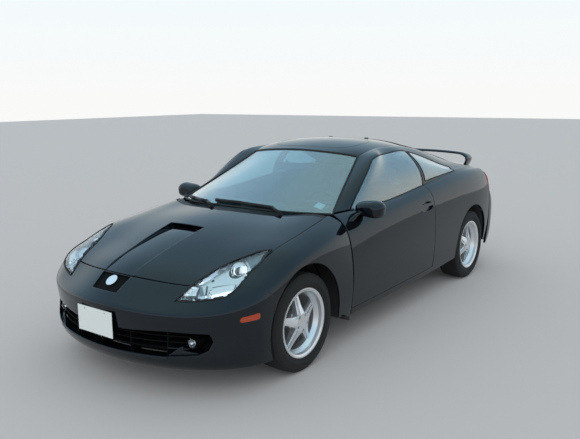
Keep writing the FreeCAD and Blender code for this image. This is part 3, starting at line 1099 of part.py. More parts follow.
def caliper(y, ahead):
    """A caliper that straddles the brake disc, seen about the wheel's centre."""
    x0, x1 = DISC_X - DISC_THICK / 2 - 28, DISC_X + DISC_THICK / 2 + 22
    ring = turned([(x0 - WHEEL_X, 92), (x0 - WHEEL_X, 152), (x1 - WHEEL_X, 152), (x1 - WHEEL_X, 92)],
                  vec(WHEEL_X, y, TYRE_R))
    ring = ring.cut(turned([(DISC_X - WHEEL_X - DISC_THICK / 2 - 3, 60),
                            (DISC_X - WHEEL_X - DISC_THICK / 2 - 3, DISC_OUT + 5),
                            (DISC_X - WHEEL_X + DISC_THICK / 2 + 3, DISC_OUT + 5),
                            (DISC_X - WHEEL_X + DISC_THICK / 2 + 3, 60)], vec(WHEEL_X, y, TYRE_R)))
    near, far = (20, 200) if ahead > 0 else (-200, -20)
    return ring.common(Part.makeBox(200, far - near, 130, vec(WHEEL_X - 100, y + near, TYRE_R - 20)))


front_caliper = clean(caliper(FRONT_AXLE_Y, -1))
arm_end = vec(DISC_X - DISC_THICK / 2 - 16, FRONT_AXLE_Y - 100, TYRE_R + 40)
knuckle_left = fused(knuckle_left, front_caliper, rod(vec(KINGPIN_X, FRONT_AXLE_Y, TYRE_R + 40), arm_end, 14))

beam_half = WELL_X - 92
rear_suspension = Part.makeBox(2 * beam_half, 80, up(345) - up(268),
                               vec(-beam_half, REAR_AXLE_Y - 40, up(268)))
for side in (1, -1):
    stub = rod(vec(side * (beam_half - 20), REAR_AXLE_Y, TYRE_R), vec(side * HUB_X, REAR_AXLE_Y, TYRE_R),
               AXLE_R)
    spring_x = side * (beam_half - 20)
    spring = rod(vec(spring_x, REAR_AXLE_Y, up(300)),
                 vec(spring_x, REAR_AXLE_Y, up(BOOT_Z - FLOOR_T) - SEAT_GAP), 30)
    link = rod(vec(spring_x, REAR_AXLE_Y - 20, up(290)), at(side * 380, 1020, 290), 16)
    rear_suspension = fused(rear_suspension, stub, spring, link)

# Wheels: a turned barrel, five spokes cut from two turned dishes, and a brake disc behind
SPOKES = 5
SPOKE_TURN = {"front": 94.0, "rear": 70.0}
HUB_FACE = RIM_WIDTH / 2 - 14.0
LUG_CIRCLE, LUG_R = 50.0, 10.0


def star(hub_half, waist_half, rim_half, turn):
    """A star of spokes as a prism along X; half widths at the hub, between and at the rim."""
    prism = None
    for k in range(SPOKES):
        angle = turn + 360.0 * k / SPOKES
        edge = [(18, hub_half), (78, waist_half), (BEAD_R + 5, rim_half)]
        mirror_edge = [(r, -s) for r, s in reversed(edge)]
        upper = Part.BSplineCurve()
        upper.interpolate([vec(0, r, s) for r, s in edge])
        lower = Part.BSplineCurve()
        lower.interpolate([vec(0, r, s) for r, s in mirror_edge])
        ends = [Part.makeLine(vec(0, *edge[-1]), vec(0, *mirror_edge[0])),
                Part.makeLine(vec(0, *mirror_edge[-1]), vec(0, *edge[0]))]
        wire = Part.Wire([upper.toShape(), ends[0], lower.toShape(), ends[1]])
        spoke = extruded(wire, vec(2 * RIM_WIDTH, 0, 0))
        spoke.translate(vec(-RIM_WIDTH, 0, 0))
        spoke.rotate(vec(0, 0, 0), vec(1, 0, 0), angle)
        prism = spoke if prism is None else prism.fuse(spoke)
    return prism


def make_rim(turn):
    """A rim about the origin, outer side towards +X."""
    f, t = RIM_WIDTH / 2, BEAD_R
    origin = vec(0, 0, 0)
    barrel = turned([(-f, t + 12), (-f, t - 10), (-f + 36, t - 30), (f - 58, t - 30), (f - 30, t - 12),
                     (f - 9, t - 8), (f - 3, t + 4),
                     (f - 3, t + 12), (f - 8, t + 12), (f - 14, t), (f - 34, t), (f - 56, t - 20),
                     (-f + 42, t - 20),
                     (-f + 22, t), (-f + 8, t), (-f + 8, t + 12)], origin)
    ridge = turned([(f - 62, 0), (f - 62, 55), (f - 84, t - 25), (f - 52, t - 25), (f - 34, 110),
                    (HUB_FACE, 58),
                    (HUB_FACE, 0)], origin).common(star(26, 16, 9, turn))
    flange = turned([(f - 66, 0), (f - 66, 55), (f - 86, t - 25), (f - 64, t - 25), (f - 46, 110),
                     (HUB_FACE - 12, 58),
                     (HUB_FACE - 12, 0)], origin).common(star(46, 29, 21, turn))
    hub = turned([(f - 69, 0), (f - 69, 62), (HUB_FACE - 12, 66), (HUB_FACE - 2, 62), (HUB_FACE - 2, 0)],
                 origin)
    hat = turned([(DISC_X - WHEEL_X - DISC_THICK / 2, AXLE_R + 30),
                  (DISC_X - WHEEL_X - DISC_THICK / 2, DISC_OUT),
                  (DISC_X - WHEEL_X + DISC_THICK / 2, DISC_OUT), (DISC_X - WHEEL_X + DISC_THICK / 2, 70),
                  (f - 68, 68), (f - 68, 50), (DISC_X - WHEEL_X, 50)], origin)
    rim = fused(barrel, hub, flange, ridge, hat)
    bore = rod(vec(-f, 0, 0), vec(f - 40, 0, 0), AXLE_R + BORE_GAP)
    rim = rim.cut(bore)
    for k in range(SPOKES):
        angle = math.radians(turn + 180.0 / SPOKES + 360.0 * k / SPOKES)
        lug = vec(0, LUG_CIRCLE * math.cos(angle), LUG_CIRCLE * math.sin(angle))
        rim = rim.cut(rod(lug + vec(f - 30, 0, 0), lug + vec(f, 0, 0), LUG_R))
    return rim


nodes = {
    "floor_pan": clean(floor_pan), "engine_bay": clean(engine_bay), "front_bumper": clean(front_bumper),
    "grille": clean(grille), "front_plate": front_plate, "head_lamps": both_sides(clean(lamp_left)),
    "fog_lamps": both_sides(fog_lens), "side_markers": both_sides(clean(side_marker)),
    "windscreen": windscreen,
    "roof": roof, "quarter_glass": both_sides(quarter_glass), "rear_bumper": clean(rear_bumper),
    "tail_lamps": both_sides(tail_lamp), "tail_corners": both_sides(tail_corner), "cowl": cowl,
    "wipers": Part.makeCompound([wiper(WIPER_LINES["left"]), wiper(WIPER_LINES["right"])]),
    "dashboard": dashboard, "front_seats": both_sides(clean(front_seat)), "rear_seat": rear_seat,
    "interior_mirror": interior_mirror, "engine_block": engine_block, "exhaust": exhaust,
    "front_suspension": front_suspension, "rear_suspension": rear_suspension, "tailgate": tailgate,
    "tailgate_glass": tailgate_glass, "rear_wing": rear_wing, "bonnet": clean(bonnet),
    "steering_wheel": steering_wheel,
}
for name, shape in (("fender", clean(fender_left)), ("quarter", quarter_left),
                    ("side_frame", side_frame_left),
                    ("door", door_left), ("door_glass", door_glass_left), ("mirror", mirror_left),
                    ("front_knuckle", knuckle_left)):
    nodes[name + "_left"] = shape
    nodes[name + "_right"] = mirrored(shape)

w, r, t = TYRE_WIDTH / 2, TYRE_R, BEAD_R
tyre = turned([(-0.78 * w, t + 0.3), (-w, t + 45), (-0.93 * w, r - 22), (-0.80 * w, r - 4), (-0.5 * w, r),
               (0.5 * w, r), (0.80 * w, r - 4), (0.93 * w, r - 22), (w, t + 45), (0.78 * w, t + 0.3)],
               vec(0, 0, 0))
for axle, y in (("front", FRONT_AXLE_Y), ("rear", REAR_AXLE_Y)):
    rim = make_rim(SPOKE_TURN[axle])
    for name, shape in (("tyre", tyre), ("rim", rim)):
        placed = shape.translated(vec(WHEEL_X, y, TYRE_R))
        nodes["%s_%s_left" % (name, axle)] = placed
        nodes["%s_%s_right" % (name, axle)] = mirrored(placed)

os.makedirs("parts", exist_ok=True)
for name, shape in nodes.items():
    if not shape.isValid() or shape.Volume <= 0 or not shape.Solids:
        print("bad", name, shape.isValid(), shape.Volume)
    shape.exportStep("parts/%s.step" % name)
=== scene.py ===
# Looks of the two-door liftback coupe: gloss black paint, tinted glass, silver wheels, clear head lamps.
# Metres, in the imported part's own frame: X to the car's left, Y to the rear, Z up.
import bpy
import bmesh
import math
from mathutils import Matrix, Vector
from mathutils.bvhtree import BVHTree


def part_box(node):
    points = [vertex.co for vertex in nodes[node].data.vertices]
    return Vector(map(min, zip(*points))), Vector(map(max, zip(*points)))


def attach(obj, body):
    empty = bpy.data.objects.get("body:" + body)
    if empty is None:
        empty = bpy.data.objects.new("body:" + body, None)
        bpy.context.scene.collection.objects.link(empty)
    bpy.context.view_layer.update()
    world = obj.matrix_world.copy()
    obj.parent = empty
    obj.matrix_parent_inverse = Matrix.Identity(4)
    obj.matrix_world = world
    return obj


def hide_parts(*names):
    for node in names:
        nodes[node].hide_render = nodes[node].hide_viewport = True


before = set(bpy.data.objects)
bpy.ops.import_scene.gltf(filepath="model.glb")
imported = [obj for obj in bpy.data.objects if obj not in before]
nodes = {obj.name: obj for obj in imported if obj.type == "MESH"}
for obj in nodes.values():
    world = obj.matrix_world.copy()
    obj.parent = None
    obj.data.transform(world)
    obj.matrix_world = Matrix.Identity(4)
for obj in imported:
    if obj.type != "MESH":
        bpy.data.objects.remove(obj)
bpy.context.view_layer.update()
scene = bpy.context.scene

# The photograph's camera: where it stands, how it looks, and its lens
CAMERA_AT = (3.0555, -4.4014, 1.6623)
CAMERA_AZIMUTH, CAMERA_DOWN, CAMERA_ROLL = 36.656, 10.654, 0.514
CAMERA_LENS = 41.215


def make_camera():
    data = bpy.data.cameras.new("photo_camera")
    data.sensor_width = 36.0
    data.lens = CAMERA_LENS
    camera = bpy.data.objects.new("photo_camera", data)
    scene.collection.objects.link(camera)
    turn, down = math.radians(CAMERA_AZIMUTH), math.radians(CAMERA_DOWN)
    ahead = Vector((-math.sin(turn) * math.cos(down), math.cos(turn) * math.cos(down), -math.sin(down)))
    camera.rotation_mode = "QUATERNION"
    look = ahead.to_track_quat("-Z", "Y")
    camera.rotation_quaternion = look @ Matrix.Rotation(math.radians(-CAMERA_ROLL), 4, "Z").to_quaternion()
    camera.location = CAMERA_AT
    scene.camera = camera


# Materials
def new_material(name):
    material = bpy.data.materials.new(name)
    material.use_nodes = True
    tree = material.node_tree
    return material, tree, tree.nodes["Principled BSDF"]


def plain(name, colour, roughness=0.5, metallic=0.0, **sockets):
    material, _, shader = new_material(name)
    shader.inputs["Base Color"].default_value = (*colour, 1)
    shader.inputs["Roughness"].default_value = roughness
    shader.inputs["Metallic"].default_value = metallic
    for socket, value in sockets.items():
        shader.inputs[socket.replace("_", " ")].default_value = value
    return material


def roughened(name, colour, roughness, scale, strength):
    """A material with a fine random relief."""
    material, tree, shader = new_material(name)
    shader.inputs["Base Color"].default_value = (*colour, 1)
    shader.inputs["Roughness"].default_value = roughness
    noise = tree.nodes.new("ShaderNodeTexNoise")
    noise.inputs["Scale"].default_value = scale
    bump = tree.nodes.new("ShaderNodeBump")
    bump.inputs["Strength"].default_value = strength
    bump.inputs["Distance"].default_value = 0.002
    where = tree.nodes.new("ShaderNodeTexCoord")
    tree.links.new(where.outputs["Object"], noise.inputs["Vector"])
    tree.links.new(noise.outputs["Fac"], bump.inputs["Height"])
    tree.links.new(bump.outputs["Normal"], shader.inputs["Normal"])
    return material


def body_paint():
    """Gloss black whose reflections are tinted blue, a painted reflection of the sky's blue; the shading
    rounds the panels' edges over a few millimetres.
    """
    material, tree, shader = new_material("black_paint")
    shader.inputs["Base Color"].default_value = (0.002, 0.0025, 0.004, 1)
    shader.inputs["Roughness"].default_value = 0.05
    shader.inputs["IOR"].default_value = 1.5
    # Painted reflection: the specular tint gives the paint's reflections the sky's blue
    shader.inputs["Specular Tint"].default_value = (0.80, 0.93, 1.0, 1)
    edge = tree.nodes.new("ShaderNodeBevel")
    edge.samples = 6
    edge.inputs["Radius"].default_value = 0.006
    tree.links.new(edge.outputs["Normal"], shader.inputs["Normal"])
    return material


paint = body_paint()
window_glass = plain("tinted_glass", (0.46, 0.72, 0.76), 0.0, Transmission_Weight=1.0, IOR=1.52,
                     Coat_Weight=1.0, Coat_Roughness=0.0, Coat_IOR=2.0)
clear_glass = plain("clear_glass", (0.97, 0.99, 1.0), 0.0, Transmission_Weight=1.0, IOR=1.45)
gloss_plastic = plain("gloss_black_plastic", (0.004, 0.004, 0.005), 0.2)
plastic = plain("black_plastic", (0.006, 0.006, 0.007), 0.5, Specular_IOR_Level=0.3)
mesh_black = plain("mesh_black", (0.002, 0.002, 0.002), 0.7, Specular_IOR_Level=0.1)
seal_rubber = plain("seal_rubber", (0.004, 0.004, 0.004), 0.6)
rubber = roughened("tyre_rubber", (0.007, 0.007, 0.007), 0.85, 400.0, 0.3)
alloy = plain("silver_alloy", (0.72, 0.74, 0.76), 0.30, 0.85)
# Steel's own grey darkened as painted shade, for the brake discs behind the spokes; the exhaust shares it
steel_darkened_as_shade = plain("brake_steel", (0.09, 0.085, 0.08), 0.5, 1.0)
metal = plain("dark_metal", (0.05, 0.05, 0.055), 0.6, 0.5)
engine_alloy = plain("engine_alloy", (0.35, 0.35, 0.36), 0.5, 1.0)
chrome = plain("lamp_chrome", (0.86, 0.88, 0.90), 0.12, 1.0)
dull_chrome = plain("fog_lamp_silver", (0.30, 0.32, 0.34), 0.25, 1.0)
bright_silver = plain("lamp_silver", (0.80, 0.84, 0.86), 0.3, 0.5)
# Blue-grey for the head lamps' floor: a painted reflection of the sky in the lamp cover
sky_reflection_grey = plain("lamp_painted_sky_reflection", (0.16, 0.21, 0.25), 0.35, 0.3)
mirror_silver = plain("mirror_silver", (0.85, 0.87, 0.88), 0.02, 1.0)
badge_silver = plain("disc_silver", (0.80, 0.82, 0.84), 0.25, 0.8)
cloth = roughened("grey_cloth", (0.045, 0.045, 0.05), 0.95, 700.0, 0.5)
lining = roughened("roof_lining", (0.22, 0.22, 0.21), 0.95, 500.0, 0.3)
carpet = roughened("black_carpet", (0.02, 0.02, 0.022), 1.0, 900.0, 0.8)
amber = plain("amber_lens", (0.30, 0.04, 0.012), 0.15)
red = plain("red_lens", (0.26, 0.004, 0.005), 0.06, Coat_Weight=1.0)
# The plate's white is painted darker and bluish, as it looks in shade
plate_white_in_painted_shade = plain("plate_white_in_painted_shade", (0.56, 0.62, 0.62), 0.4)
sticker_white = plain("sticker_white", (0.80, 0.84, 0.84), 0.5)

NODE_LOOKS = [
    (("tyre",), rubber), (("rim",), alloy), (("glass", "windscreen"), window_glass),
    (("head_lamps",), clear_glass),
    (("tail_lamps",), red), (("side_markers",), amber), (("fog_lamps",), clear_glass), (("seat",), cloth),
    (("front_plate",), plate_white_in_painted_shade), (("engine_block",), engine_alloy), (("exhaust",), steel_darkened_as_shade),
    (("floor", "engine", "suspension", "knuckle"), metal), (("cowl", "wipers"), plastic),
    (("grille",), mesh_black), (("dashboard", "steering", "interior_mirror"), plastic), (("",), paint),
]
for name, node in nodes.items():
    look = next(material for words, material in NODE_LOOKS if any(w in name for w in words))
    node.data.materials.clear()
    node.data.materials.append(look)


class CadFace:
    """One face of the solid model, as the polygons of its mesh, which share no vertex with another face."""

    def __init__(self, mesh, polygons):
        self.polygons = polygons
        self.area = sum(p.area for p in polygons)
        self.centre = sum((p.center * p.area for p in polygons), Vector()) / self.area
        self.normal = sum((p.normal * p.area for p in polygons), Vector()) / self.area
        points = [mesh.vertices[v].co for p in polygons for v in p.vertices]
        self.low = Vector([min(point[k] for point in points) for k in range(3)])
        self.high = Vector([max(point[k] for point in points) for k in range(3)])


def find_cad_faces(mesh):
    leader = list(range(len(mesh.vertices)))

    def lead(vertex):
        while leader[vertex] != vertex:
            leader[vertex] = leader[leader[vertex]]
            vertex = leader[vertex]
        return vertex

    for polygon in mesh.polygons:
        first = lead(polygon.vertices[0])
        for vertex in polygon.vertices[1:]:
            leader[lead(vertex)] = first
    groups = {}
    for polygon in mesh.polygons:
        groups.setdefault(lead(polygon.vertices[0]), []).append(polygon)
    return [CadFace(mesh, polygons) for polygons in groups.values()]


cad_faces = {}


def faces_of(name):
    if name not in cad_faces:
        cad_faces[name] = find_cad_faces(nodes[name].data)
    return cad_faces[name]


def dress(name, material, wanted):
    """Gives a node's CAD faces this material where wanted(face) is true."""
    mesh = nodes[name].data
    mesh.materials.append(material)
    index = len(mesh.materials) - 1
    for face in faces_of(name):
        if wanted(face):
            for polygon in face.polygons:
                polygon.material_index = index


def both(name):
    return [name + "_left", name + "_right"]


# Linings of the cabin, seen through the glass
ENGINE_BAY_SHOWN_Z = 0.5


def faces_cabin(f):
    return f.normal.x * f.centre.x < 0 and abs(f.normal.x) > 0.35


dress("roof", lining, lambda f: f.normal.z < -0.3)
dress("tailgate", lining, lambda f: f.normal.z < -0.3)
for name in both("side_frame"):
    dress(name, lining, lambda f: faces_cabin(f) or f.normal.z < -0.6)
for name in both("door"):
    dress(name, cloth, lambda f: faces_cabin(f) and f.area > 0.01)
dress("floor_pan", carpet, lambda f: f.normal.z > 0.5)
dress("engine_bay", gloss_plastic, lambda f: f.centre.z > ENGINE_BAY_SHOWN_Z)

# Wheels: the brake disc inside each rim, in steel darkened as painted shade, and the bolt pockets, in black
# as painted shade
DISC_REACH, DISC_INBOARD, POCKET_D, POCKET_RING = 0.142, 0.010, 0.022, (0.025, 0.045)
for name in both("rim_front") + both("rim_rear"):
    low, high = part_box(name)
    hub = (low + high) / 2
    dress(name, steel_darkened_as_shade, lambda f, hub=hub: abs(f.centre.x) < abs(hub.x) - DISC_INBOARD
          and f.high.z - hub.z < DISC_REACH)
    # The bolt pockets' walls are painted black: painted shade in the holes
    dress(name, plastic, lambda f, hub=hub: f.high.z - f.low.z < POCKET_D
          and POCKET_RING[0] < math.hypot(f.centre.y - hub.y, f.centre.z - hub.z) < POCKET_RING[1])

# The nose's recess and its plain disc, the plate's bracket, and the fins beside the fog lamps
DISC_HALF, RECESS_HALF, RECESS_Y, RECESS_ABOVE = 0.04, 0.13, (-2.11, -1.98), 0.55
FIN_X, FIN_Z, FIN_BEFORE = (0.46, 0.612), (0.26, 0.32), -1.89
disc = max((f for f in faces_of("front_bumper")
            if f.high.x < DISC_HALF and f.low.x > -DISC_HALF and f.normal.z > 0.6), key=lambda f: f.area)


def in_recess(f):
    near = (abs(f.centre.x) < RECESS_HALF and RECESS_Y[0] < f.centre.y < RECESS_Y[1]
            and f.centre.z > RECESS_ABOVE)
    return near and f.area < 0.03 and f is not disc and abs(f.normal.x) < 0.5


dress("front_bumper", mesh_black, in_recess)
dress("front_bumper", badge_silver, lambda f: f is disc)
dress("front_plate", plastic, lambda f: f.normal.y > -0.9 or f.area < 0.02)
dress("grille", paint, lambda f: FIN_X[0] < abs(f.centre.x) < FIN_X[1] and FIN_Z[0] < f.low.z
      and f.high.z < FIN_Z[1] and f.high.y < FIN_BEFORE)


# Pieces made from the CAD nodes' own faces
def patch_of(name, wanted):
    """A bmesh of those CAD faces of a node for which wanted(face) is true."""
    kept = {polygon.index for face in faces_of(name) if wanted(face) for polygon in face.polygons}
    mesh = bmesh.new()
    mesh.from_mesh(nodes[name].data)
    mesh.faces.ensure_lookup_table()
    bmesh.ops.delete(mesh, geom=[f for f in mesh.faces if f.index not in kept], context="FACES")
    return mesh


def add_piece(title, mesh, materials, body, smooth=True):
    """Links a bmesh as an object that rides on a body."""
    data = bpy.data.meshes.new(title)
    mesh.to_mesh(data)
    mesh.free()
    for material in materials:
        data.materials.append(material)
    for face in data.polygons:
        face.material_index = min(face.material_index, len(materials) - 1)
        face.use_smooth = smooth
    piece = bpy.data.objects.new(title, data)
    scene.collection.objects.link(piece)
    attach(piece, body)
    return piece


def seal(name, wanted, width, body):
    """A black rubber bead along the edge of a pane's outer side."""
    mesh = patch_of(name, wanted)
    bmesh.ops.remove_doubles(mesh, verts=mesh.verts, dist=0.0002)
    mesh.edges.index_update()
    loose = {e.index: e for e in mesh.edges if len(e.link_faces) == 1}
    curve = bpy.data.curves.new(name + "_seal", "CURVE")
    curve.dimensions = "3D"
    curve.bevel_depth = width / 2
    curve.bevel_resolution = 1
    curve.materials.append(seal_rubber)
    while loose:
        edge = loose.pop(min(loose))
        chain = [edge.verts[0], edge.verts[1]]
        step = True
        while step:
            step = next((e for e in chain[-1].link_edges if e.index in loose), None)
            if step:
                del loose[step.index]
                chain.append(step.other_vert(chain[-1]))
        if len(chain) < 6:
            continue
        closed = chain[0] is chain[-1]
        points = chain[:-1] if closed else chain
        line = curve.splines.new("POLY")
        line.points.add(len(points) - 1)
        for point, vertex in zip(line.points, points):
            point.co = (*vertex.co, 1)
        line.use_cyclic_u = closed
    mesh.free()
    piece = bpy.data.objects.new(name + "_seal", curve)
    scene.collection.objects.link(piece)
    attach(piece, body)


def faces_up(f):
    return f.normal.z > 0.4 and f.area > 0.02


def faces_out(f):
    return f.normal.x * f.centre.x > 0 and abs(f.normal.x) > 0.5 and f.area > 0.02


seal("windscreen", faces_up, 0.017, "shell")
seal("tailgate_glass", faces_up, 0.010, "tailgate")
seal("quarter_glass", faces_out, 0.009, "shell")
seal("head_lamps", faces_up, 0.009, "shell")
for side in ("left", "right"):
    seal("door_glass_" + side, faces_out, 0.009, "door_" + side)

# Head lamps: a clear cover over a silver floor with raised and dark zones, a reflector bowl and a projector;
# the floor's blue-grey zones are a painted reflection of the sky in the cover.
# The left lamp's plane: its middle, its outward way, and its way from the front tip to the rear tip.
LAMP_MIDDLE = Vector((0.600, -1.730, 0.660))
LAMP_OUT = Vector((0.2000, -0.4549, 0.8678))
LAMP_ALONG = Vector((0.3976, 0.8472, 0.3525))
LAMP_ACROSS = LAMP_OUT.cross(LAMP_ALONG)
LAMP_FACING = Vector((0.30, -0.90, 0.32)).normalized()
FLOOR_DEPTH, FLOOR_STEP = 0.026, 0.003
# Zones of the floor, in mm along and across the lamp's plane: corners, how far each stands up, its look
LAMP_ZONES = [
    ("rear_tip", [(165, 70), (168, 20), (139, -80), (400, -60), (400, 120)], 4, "grey"),
    ("upper_band", [(-135, 34), (-63, 36), (22, 60), (100, 87), (187, 94), (250, 61), (330, 60), (330, 160),
                    (-250, 160), (-190, 60)], 5, "grey"),
    ("turn_frame", [(-276, 36), (-180, 58), (-140, 10), (-190, -42)], 8, "dark"),
    ("turn_lens", [(-266, 33), (-182, 42), (-152, 8), (-196, -28)], 12, "bright"),
    ("wedge", [(-136, 4), (-158, -62), (-184, -40), (-146, 10)], 2, "grey"),
    ("divider", [(-117, -14), (-108, -16), (-130, -46), (-150, -72), (-159, -68), (-140, -44)], 10, "dark"),
    ("plateau", [(-101, -53), (14, -116), (-21, -150), (-135, -96)], 14, "bright"),
    ("groove", [(-94, -36), (14, -104), (17, -111), (-96, -45)], -6, "dark"),
    ("square", [(-119, -55), (-109, -60), (-114, -70), (-124, -64)], 14, "dark"),
    ("lower_square", [(-133, -66), (-124, -70), (-129, -80), (-138, -74)], 14, "dark"),
    ("bright_line", [(-128, 30), (-63, 32), (22, 55), (100, 82), (187, 89), (252, 56), (252, 62), (187, 96),
                     (100, 89), (22, 62), (-63, 39), (-128, 37)], 10, "bright"),
]
BOWL_AT, BOWL_R, BOWL_DEPTH, BOWL_CLEAR = (96, -6), 0.046, 0.036, 0.001
# The projector before the bowl: how far ahead it stands, and its ring, iris and lens
PROJECTOR_AHEAD, LENS_R, LENS_HEIGHT = 0.004, 0.028, 0.014
RING_PROFILE = [(-0.02, 0.033), (0.0, 0.033), (0.002, 0.031), (0.0, LENS_R)]
IRIS_PROFILE = [(-0.004, 0.0004), (-0.004, LENS_R)]
# The part of the lamp's plane that the floor is made in, in mm
FLOOR_ALONG, FLOOR_ACROSS = (-300, 345), (-175, 115)
SMALL_HOLE_AT, SMALL_HOLE_R = (-66, 8), 8.0
# The turn signal's pattern, in mm
FACET_RISE, FACET_PITCH = 2.5, 3.2
# The grey look is the blue-grey painted reflection of the sky in the cover
ZONE_LOOKS = {"silver": 0, "grey": 1, "dark": 2, "bright": 3}


def in_zone(corners, u, v):
    inside = False
    for (u0, v0), (u1, v1) in zip(corners, corners[1:] + corners[:1]):
        if (v0 > v) != (v1 > v) and u < (u1 - u0) * (v - v0) / (v1 - v0) + u0:
            inside = not inside
    return inside


def zone_at(u, v):
    """How far the lamp's floor stands up at a place, in mm, and its look."""
    if math.hypot(u - SMALL_HOLE_AT[0], v - SMALL_HOLE_AT[1]) < SMALL_HOLE_R:
        return -8, "dark"
    for title, corners, rise, look in reversed(LAMP_ZONES):
        if in_zone(corners, u, v):
            pattern = math.sin(u / FACET_PITCH) * math.sin(v / FACET_PITCH)
            return rise + (FACET_RISE * pattern if title == "turn_lens" else 0), look
    return 0, "silver"


def bowl_profile(radius):
    """A reflector's profile, open to the front, with its rim."""
    depth = 0.7 * radius
    cup = [(-depth * (1 - (k / 8) ** 2), max(radius * k / 8, 0.0004)) for k in range(9)]
    return cup + [(0.002, radius + 0.001), (0.0015, radius + 0.003), (-0.006, radius + 0.003)]


def dome_profile(radius, height):
    """A lens's profile, bulging to the front."""
    turns = [k * math.pi / 16 for k in range(9)]
    return [(height * math.cos(a), max(radius * math.sin(a), 0.0004)) for a in turns]


def spun(title, profile, centre, facing, materials, body, look=None, steps=40):
    """A profile of (way forward, radius) turned about the way it faces; look(angle) picks a material."""
    mesh = bmesh.new()
    turn = facing.to_track_quat("Z", "Y")
    rings = []
    angles = [2 * math.pi * k / steps for k in range(steps)]
    for way, radius in profile:
        spots = [Vector((radius * math.cos(a), radius * math.sin(a), way)) for a in angles]
        rings.append([mesh.verts.new(centre + turn @ spot) for spot in spots])
    for near, far in zip(rings, rings[1:]):
        for k in range(steps):
            face = mesh.faces.new((near[k], near[(k + 1) % steps], far[(k + 1) % steps], far[k]))
            if look:
                face.material_index = look(face.calc_center_median() - centre)
    return add_piece(title, mesh, materials, body)


def make_lamp(sign, side):
    """The inner parts of one head lamp, mirrored for the right-hand one."""
    def place(point):
        return Vector((point.x * sign, point.y, point.z))

    cover = patch_of("head_lamps", lambda f: faces_up(f) and f.centre.x > 0)
    cover_tree = BVHTree.FromBMesh(cover)
    cover.free()

    def below_cover(u, v, depth):
        start = LAMP_MIDDLE + LAMP_ALONG * (u / 1000) + LAMP_ACROSS * (v / 1000) + LAMP_OUT * 0.2
        hit = cover_tree.ray_cast(start, -LAMP_OUT)[0]
        return hit - LAMP_OUT * depth if hit else None

    bowl_at = below_cover(*BOWL_AT, BOWL_DEPTH)
    floor = bmesh.new()
    points = {}
    step = FLOOR_STEP * 1000
    for i in range(int(FLOOR_ALONG[0] / step), int(FLOOR_ALONG[1] / step)):
        for j in range(int(FLOOR_ACROSS[0] / step), int(FLOOR_ACROSS[1] / step)):
            rise, look = zone_at(i * step, j * step)
            spot = below_cover(i * step, j * step, FLOOR_DEPTH - rise / 1000)
            if not spot:
                continue
            way = spot - bowl_at
            if (way - LAMP_FACING * way.dot(LAMP_FACING)).length > BOWL_R + BOWL_CLEAR:
                points[i, j] = floor.verts.new(place(spot)), ZONE_LOOKS[look]
    for (i, j), (vertex, look) in points.items():
        corners = [points.get(key) for key in ((i + 1, j), (i + 1, j + 1), (i, j + 1))]
        if all(corners):
            ring = [vertex] + [corner[0] for corner in corners]
            face = floor.faces.new(ring if sign > 0 else ring[::-1])
            face.material_index = look
    add_piece("head_lamp_floor_" + side, floor, [alloy, sky_reflection_grey, gloss_plastic, bright_silver], "shell")
    facing = place(LAMP_FACING)
    spun("head_lamp_bowl_" + side, bowl_profile(BOWL_R), place(bowl_at), facing, [chrome], "shell")
    lens_at = place(bowl_at) + facing * PROJECTOR_AHEAD
    aside = facing.cross(Vector((0, 0, 1))).normalized()
    spun("head_lamp_ring_" + side, RING_PROFILE, lens_at, facing, [chrome], "shell")
    spun("head_lamp_iris_" + side, IRIS_PROFILE, lens_at, facing, [gloss_plastic, bright_silver], "shell",
         lambda way: 1 if way.dot(aside) * sign < 0 else 0)
    spun("head_lamp_lens_" + side, dome_profile(LENS_R, LENS_HEIGHT), lens_at, facing, [clear_glass], "shell")


COVER_T = 0.003
cover = add_piece("head_lamp_covers", patch_of("head_lamps", faces_up), [clear_glass], "shell")
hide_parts("head_lamps")
thick = cover.modifiers.new("thick", "SOLIDIFY")
thick.thickness = COVER_T
thick.offset = -1
add_piece("head_lamp_housings", patch_of("head_lamps", lambda f: not faces_up(f)), [gloss_plastic], "shell")
for sign, side in ((1, "left"), (-1, "right")):
    make_lamp(sign, side)

# Bolder wiper arms and blades than the solids'
WIPER_SWELL = 0.006
wipers = add_piece("wiper_arms", patch_of("wipers", lambda f: True), [plastic], "shell")
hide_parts("wipers")
bolder = wipers.modifiers.new("bolder", "SOLIDIFY")
bolder.thickness = WIPER_SWELL
bolder.offset = 1


def tree_of(name, wanted):
    """Those CAD faces of a node, ready for rays."""
    mesh = patch_of(name, wanted)
    tree = BVHTree.FromBMesh(mesh)
    mesh.free()
    return tree


def add_bead(title, points, width, material, body, closed=False):
    """A round bead along a line of points."""
    curve = bpy.data.curves.new(title, "CURVE")
    curve.dimensions = "3D"
    curve.bevel_depth = width / 2
    curve.bevel_resolution = 2
    curve.materials.append(material)
    line = curve.splines.new("POLY")
    line.points.add(len(points) - 1)
    for spot, point in zip(line.points, points):
        spot.co = (*point, 1)
    line.use_cyclic_u = closed
    piece = bpy.data.objects.new(title, curve)
    scene.collection.objects.link(piece)
    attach(piece, body)
    return piece


# The thin lip along the lower intake
LIP_Z, LIP_HALF, LIP_W, LIP_STEPS = 0.256, 0.47, 0.012, 24
skin = max(faces_of("front_bumper"), key=lambda f: f.area)
skin_tree = tree_of("front_bumper", lambda f: f is skin)
lip = [skin_tree.ray_cast(Vector((LIP_HALF * k / LIP_STEPS, -2.4, LIP_Z)), Vector((0, 1, 0)))[0]
       for k in range(-LIP_STEPS, LIP_STEPS + 1)]
add_bead("intake_lip", [point for point in lip if point], LIP_W, paint, "shell")

